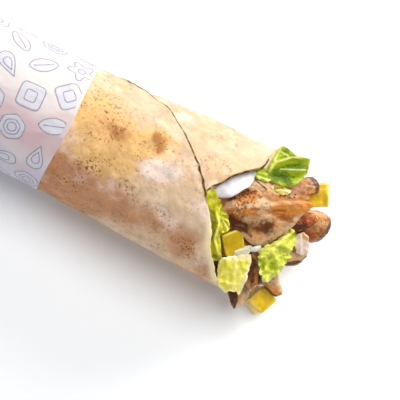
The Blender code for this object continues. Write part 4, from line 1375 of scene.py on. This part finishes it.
def build_sauce():
    """The yoghurt sauce: a dollop that comes out from under the bread, and a smear on the meat."""
    finish = sauce_finish()
    spots = [
        ("sauce_spread", "sauce_dollop", under_skin(6.0, 0.06, 78), 4.4, 2.3,
         [(74, 5), (70, 20), (80, 24), (86, 25.5), (88, 22), (88.8, 17.5), (88, 13.5), (85.5, 10), (82.5, 7),
          (80, 4.5), (77.5, 3), (75.5, 3)]),
        ("sauce_streak", "sauce_smear", tilted(44.2, (101, -12), -0.1, 0.15), 1.6, 2.2,
         [(99.5, -13), (101, -10.5), (103.5, -8.5), (105.5, -7.5), (106, -9.5), (104.5, -11.5), (102, -13)]),
    ]
    for seed, (name, stands_for, height, thick, boxiness, corners) in enumerate(spots):
        outline = closed_outline(corners, 120, 1.2)
        grid, share = slab_grid(outline, outline.mean(axis=0), height, thick, boxiness, 50)
        relief = SAUCE_SWELL * rough_noise(grid, 5.5, 401 + seed, 2) * smooth(0, 0.3, share)
        grid = grid + grid_normals(grid, True) * relief[..., None]
        piece = make_piece(name, grid, grid_quads(len(grid), 120, True), {}, finish)
        finish_piece(piece, "sauce", stands_for)


def ball_ways(rows, columns):
    """Directions on a grid from pole to pole and once round: the points of a ball of radius one."""
    polar = np.linspace(0, math.pi, rows)[:, None]
    around = np.linspace(0, TAU, columns, endpoint=False)[None]
    level = np.sin(polar)
    return np.dstack([level * np.cos(around), level * np.sin(around), np.cos(polar) + 0 * around])


DICE_GRID = (70, 120)
CRUMB_GRID = (5, 6)
CRUMB_FLATNESS = 0.5  # a crumb's height to its width


def make_dice(name, centre, sizes_mm, turns, ripe, finish, seed):
    """A cut dice: a rounded box with slightly uneven faces, and its share of painted shade from 0 to 1, which
    darkens its flesh.

    The distance from its centre in a direction d is (|dx/a|^n + |dy/b|^n + |dz/c|^n)^(-1/n), with a, b and
    c its half sizes, then the box is turned and moved. The edge attribute is 1 along its edges.
    """
    ways = ball_ways(*DICE_GRID)
    halves = np.array(sizes_mm) / 2
    power = 2 + 9 / (bpy.context.scene.wrap_sizes.dice_edge / MM)
    reach = (np.abs(ways / halves) ** power).sum(axis=-1) ** (-1 / power)
    grid = ways * reach[..., None]
    share = np.sort(np.abs(grid / halves), axis=-1)
    edge = smooth(0.72, 0.97, share[..., 1])
    grid = grid + grid_normals(grid, True) * (0.35 * rough_noise(grid, 5, seed, 3))[..., None]
    placed = grid @ turned_by(*turns).T + np.array(centre)
    attributes = {"edge": edge, "ripe": ripe + 0 * edge}
    return make_piece(name, placed, grid_quads(*DICE_GRID, True), attributes, finish)


def turned_by(*degrees):
    """The matrix that turns points by angles round the first, second and third axis in order."""
    turn = np.eye(3)
    for axis, angle in enumerate(degrees):
        c, s = math.cos(math.radians(angle)), math.sin(math.radians(angle))
        one = np.eye(3)
        first, second = (axis + 1) % 3, (axis + 2) % 3
        one[first, first] = one[second, second] = c
        one[first, second], one[second, first] = -s, s
        turn = one @ turn
    return turn


def scatter(name, onto, middle, reach, count, size, finish, values, seed):
    """Crumbs that lie on the named pieces, spread in a bell curve about a middle.

    Each is a small ball, stretched and turned at random and dented by noise. It lies where a line straight
    down meets the pieces. size is the smallest and largest radius.
    """
    random = np.random.default_rng(seed)
    ball = ball_ways(*CRUMB_GRID)
    trees = [BVHTree.FromPolygons([v.co for v in mesh.vertices], [tuple(f.vertices) for f in mesh.polygons])
             for mesh in (bpy.data.objects[piece].data for piece in onto)]
    points, quads = [], []
    for along, across in random.normal(0, 1, (count, 2)) * reach + middle:
        start = Vector(placed_in_model((along, across, 100)))
        hits = [tree.ray_cast(start, Vector((0, 0, -1))) for tree in trees]
        hits = [hit[0] for hit in hits if hit[0] is not None and hit[1].z > 0.2]
        if not hits:
            continue
        up = max(hit.z for hit in hits) / MM
        radius = random.uniform(*size)
        lump = ball * (1 + 0.35 * random.uniform(-1, 1, ball.shape))
        lump = lump * (radius, radius * random.uniform(0.5, 1), radius * CRUMB_FLATNESS)
        lump[[0, -1]] = lump[[0, -1], :1]
        lump = lump @ turned_by(*random.uniform((-25, -25, 0), (25, 25, 360))).T
        quads.append(grid_quads(*CRUMB_GRID, True) + math.prod(CRUMB_GRID) * len(points))
        points.append(lump.reshape(-1, 3) + (along, across, up + radius * CRUMB_FLATNESS * 0.3))
    points = np.concatenate(points)
    attributes = {kind: np.full(len(points), value) for kind, value in values.items()}
    piece = make_piece(name, points, np.concatenate(quads), attributes, finish)
    finish_piece(piece, "meat")


# Each lot of crumbs: name, pieces it lies on, middle, reach, count, smallest and largest radius, and kind
ON_TOP = ["roast_top", "roast_fold", "roast_far"]
CRUMBS = [
    ("pepper_top", ON_TOP, (100, 8), (10, 8), 26, (0.14, 0.3), "pepper"),
    ("pepper_seam", ON_TOP, (106, 18.5), (3, 1.2), 26, (0.2, 0.5), "pepper"),
    ("pepper_knob", ["roast_knob", "roast_knob_flap"], (125, 12), (4, 5), 46, (0.2, 0.4), "pepper"),
    ("pepper_low", ["roast_pale_end_slice", "roast_dark_strip", "roast_low_strip"], (117, -13), (8, 8), 60,
     (0.18, 0.4), "pepper"),
    ("crisp_crumbs", ["roast_top"], (87, 9), (3.5, 3), 110, (0.25, 0.7), "crisp"),
    # pale crumbs of fat that also stand for painted highlight dots on the crisp top
    ("fat_crumbs", ["roast_top"], (87, 5.5), (4.5, 2.5), 70, (0.2, 0.55), "fat_and_highlight"),
    ("crisp_crumbs_ridge", ["roast_top"], (96, 7), (6, 2.5), 60, (0.15, 0.4), "crisp"),
]


def build_crumbs():
    """Ground pepper and crisp crumbs on the roast meat."""
    pepper, meat = pepper_finish(), meat_finish()
    kinds = {
        "pepper": (pepper, {}),
        "crisp": (meat, {"golden": 0.8, "pale": 0.1, "brown": 0.35, "blush": 0.4}),
        # pale crumbs of fat that also serve as painted highlights
        "fat_and_highlight": (meat, {"golden": 0.3, "pale": 0.9, "brown": 0, "blush": 0}),
    }
    for seed, (name, onto, middle, reach, count, size, kind) in enumerate(CRUMBS):
        scatter(name, onto, middle, reach, count, size, *kinds[kind], seed + 601)


def build_dice():
    """The pickled pepper: four dice among the filling."""
    finish = pickle_finish()
    # Each dice: name, the solid it stands for, middle, sizes, turns, and its share of painted shade
    dice = [
        ("pickle_far", "dice_far", (118.6, 25.8, 28), (10.5, 11.5, 9), (4, -4, 27), 0.1),
        ("pickle_near", "dice_near", (91.4, -12.7, 42.6), (10.5, 11, 9), (18, 22, 48), 0.7),
        ("pickle_low", "dice_low", (117.2, -31.2, 8.8), (10.2, 9.6, 10.5), (14, 16, 70), 0),
        ("pickle_small", "dice_small", (100.5, 19.6, 47), (5.2, 3.6, 3), (15, 5, 30), 0.3),
    ]
    for seed, (name, stands_for, centre, sizes_mm, turns, ripe) in enumerate(dice):
        finish_piece(make_dice(name, centre, sizes_mm, turns, ripe, finish, 501 + seed), "dice", stands_for)


# ---------------------------------------------------------------- stage


FLOOR_REACH = 1.6  # metres from its middle to each side
AIM = (70.2, -1.7, 33)  # what lies in the middle of the view, in the roll's frame
CAMERA_HEIGHT = 1.4  # metres over it
CAMERA_TURN = 27  # degrees from the roll's own direction
SENSOR_WIDTH, FOCAL_LENGTH = 36, 268  # millimetres
SKY_TINT, SKY_STRENGTH = (0.97, 1.0, 1.06), 0.19
# Each light: heading from +X and elevation in degrees, distance and diameter in metres, the light it gives to
# a sheet that faces it, and its tint
LIGHTS = [
    ("key", 72, 22, 1.2, 0.7, 1.06, (1, 0.98, 0.95)),
    ("overhead_softbox", 76, 69, 1.8, 1.1, 0.8, (1, 1, 1)),
    ("near_fill", -95, 15, 1.2, 0.8, 0.32, (0.98, 0.98, 1)),
]


def build_stage():
    """White studio table, soft light from above the far side, and a camera straight overhead."""
    scene = bpy.context.scene
    rows = np.linspace(-FLOOR_REACH, FLOOR_REACH, 9)
    grid = np.dstack([*np.meshgrid(rows, rows, indexing="ij"), np.zeros((9, 9))])
    mesh = bpy.data.meshes.new("floor")
    mesh.from_pydata(grid.reshape(-1, 3).tolist(), [], grid_quads(9, 9)[:, ::-1].tolist())
    mesh.materials.append(floor_finish())
    floor = bpy.data.objects.new("floor", mesh)
    scene.collection.objects.link(floor)
    if mesh.polygons[0].normal.z < 0:
        mesh.flip_normals()

    world = bpy.data.worlds.new("studio")
    world.use_nodes = True
    sky = world.node_tree.nodes["Background"].inputs
    sky["Color"].default_value, sky["Strength"].default_value = opaque(SKY_TINT), SKY_STRENGTH
    scene.world = world
    scene.view_settings.view_transform = "Standard"

    middle = Vector(placed_in_model(AIM))
    for name, heading, elevation, distance, diameter, strength, tint in LIGHTS:
        light = bpy.data.lights.new(name, "AREA")
        light.shape, light.size, light.color = "DISK", diameter, tint
        # a disc of power P gives a facing white sheet at distance d the brightness P / (pi d)^2
        light.energy = strength * (math.pi * distance) ** 2
        turn, rise = math.radians(heading), math.radians(elevation)
        way = Vector((math.cos(rise) * math.cos(turn), math.cos(rise) * math.sin(turn), math.sin(rise)))
        lamp = bpy.data.objects.new(name, light)
        lamp.location = middle + distance * way
        lamp.rotation_euler = way.to_track_quat("Z", "Y").to_euler()
        scene.collection.objects.link(lamp)

    lens = bpy.data.cameras.new("overhead")
    lens.sensor_width, lens.lens = SENSOR_WIDTH, FOCAL_LENGTH
    camera = bpy.data.objects.new("overhead", lens)
    camera.location = middle + Vector((0, 0, CAMERA_HEIGHT))
    camera.rotation_euler = (0, 0, math.radians(CAMERA_TURN))
    scene.collection.objects.link(camera)
    scene.camera = camera


# ---------------------------------------------------------------- operators


class WRAP_OT_bread(bpy.types.Operator):
    """Make the rolled flatbread"""

    bl_idname = "wrap.bread"
    bl_label = "Flatbread"

    def execute(self, context):
        build_bread()
        return {"FINISHED"}


class WRAP_OT_sleeve(bpy.types.Operator):
    """Make the paper sleeve"""

    bl_idname = "wrap.sleeve"
    bl_label = "Paper sleeve"

    def execute(self, context):
        build_sleeve()
        return {"FINISHED"}


class WRAP_OT_print(bpy.types.Operator):
    """Print the sleeve's motifs"""

    bl_idname = "wrap.print"
    bl_label = "Sleeve print"

    def execute(self, context):
        build_print()
        return {"FINISHED"}


class WRAP_OT_meat(bpy.types.Operator):
    """Make the roast meat: core, slices and strips"""

    bl_idname = "wrap.meat"
    bl_label = "Roast meat"

    def execute(self, context):
        build_meat()
        return {"FINISHED"}


class WRAP_OT_leaves(bpy.types.Operator):
    """Make the lettuce leaves"""

    bl_idname = "wrap.leaves"
    bl_label = "Lettuce"

    def execute(self, context):
        build_leaves()
        return {"FINISHED"}


class WRAP_OT_sauce(bpy.types.Operator):
    """Make the yoghurt sauce"""

    bl_idname = "wrap.sauce"
    bl_label = "Sauce"

    def execute(self, context):
        build_sauce()
        return {"FINISHED"}


class WRAP_OT_dice(bpy.types.Operator):
    """Make the pickled pepper dice"""

    bl_idname = "wrap.dice"
    bl_label = "Pickled dice"

    def execute(self, context):
        build_dice()
        return {"FINISHED"}


class WRAP_OT_crumbs(bpy.types.Operator):
    """Strew ground pepper and crisp crumbs on the meat"""

    bl_idname = "wrap.crumbs"
    bl_label = "Pepper and crumbs"

    def execute(self, context):
        build_crumbs()
        return {"FINISHED"}


class WRAP_OT_stage(bpy.types.Operator):
    """Make the table, the light and the camera"""

    bl_idname = "wrap.stage"
    bl_label = "Stage"

    def execute(self, context):
        build_stage()
        return {"FINISHED"}


OPERATORS = (
    WRAP_OT_bread, WRAP_OT_sleeve, WRAP_OT_print, WRAP_OT_meat, WRAP_OT_leaves, WRAP_OT_sauce, WRAP_OT_dice,
    WRAP_OT_crumbs, WRAP_OT_stage,
)


class WRAP_PT_panel(bpy.types.Panel):
    """The wrap's pieces, sizes and colours, in the 3D view's sidebar"""

    bl_label = "Gyro Wrap"
    bl_idname = "WRAP_PT_panel"
    bl_space_type = "VIEW_3D"
    bl_region_type = "UI"
    bl_category = "Wrap"

    def draw(self, context):
        column = self.layout.column(align=True)
        for operator in OPERATORS:
            column.operator(operator.bl_idname)
        for group in (context.scene.wrap_sizes, context.scene.wrap_colours):
            column = self.layout.column(align=True)
            for name in group.__annotations__:
                column.prop(group, name)


CLASSES = (WrapSizes, WrapColours, *OPERATORS, WRAP_PT_panel)


def register():
    for one in CLASSES:
        bpy.utils.register_class(one)
    bpy.types.Scene.wrap_sizes = bpy.props.PointerProperty(type=WrapSizes)
    bpy.types.Scene.wrap_colours = bpy.props.PointerProperty(type=WrapColours)


def unregister():
    del bpy.types.Scene.wrap_colours
    del bpy.types.Scene.wrap_sizes
    for one in reversed(CLASSES):
        bpy.utils.unregister_class(one)


def main():
    """Makes every piece and the stage."""
    register()
    bpy.ops.wrap.bread()
    bpy.ops.wrap.sleeve()
    bpy.ops.wrap.print()
    bpy.ops.wrap.meat()
    bpy.ops.wrap.leaves()
    bpy.ops.wrap.sauce()
    bpy.ops.wrap.dice()
    bpy.ops.wrap.crumbs()
    bpy.ops.wrap.stage()


if __name__ == "__main__":
    main()
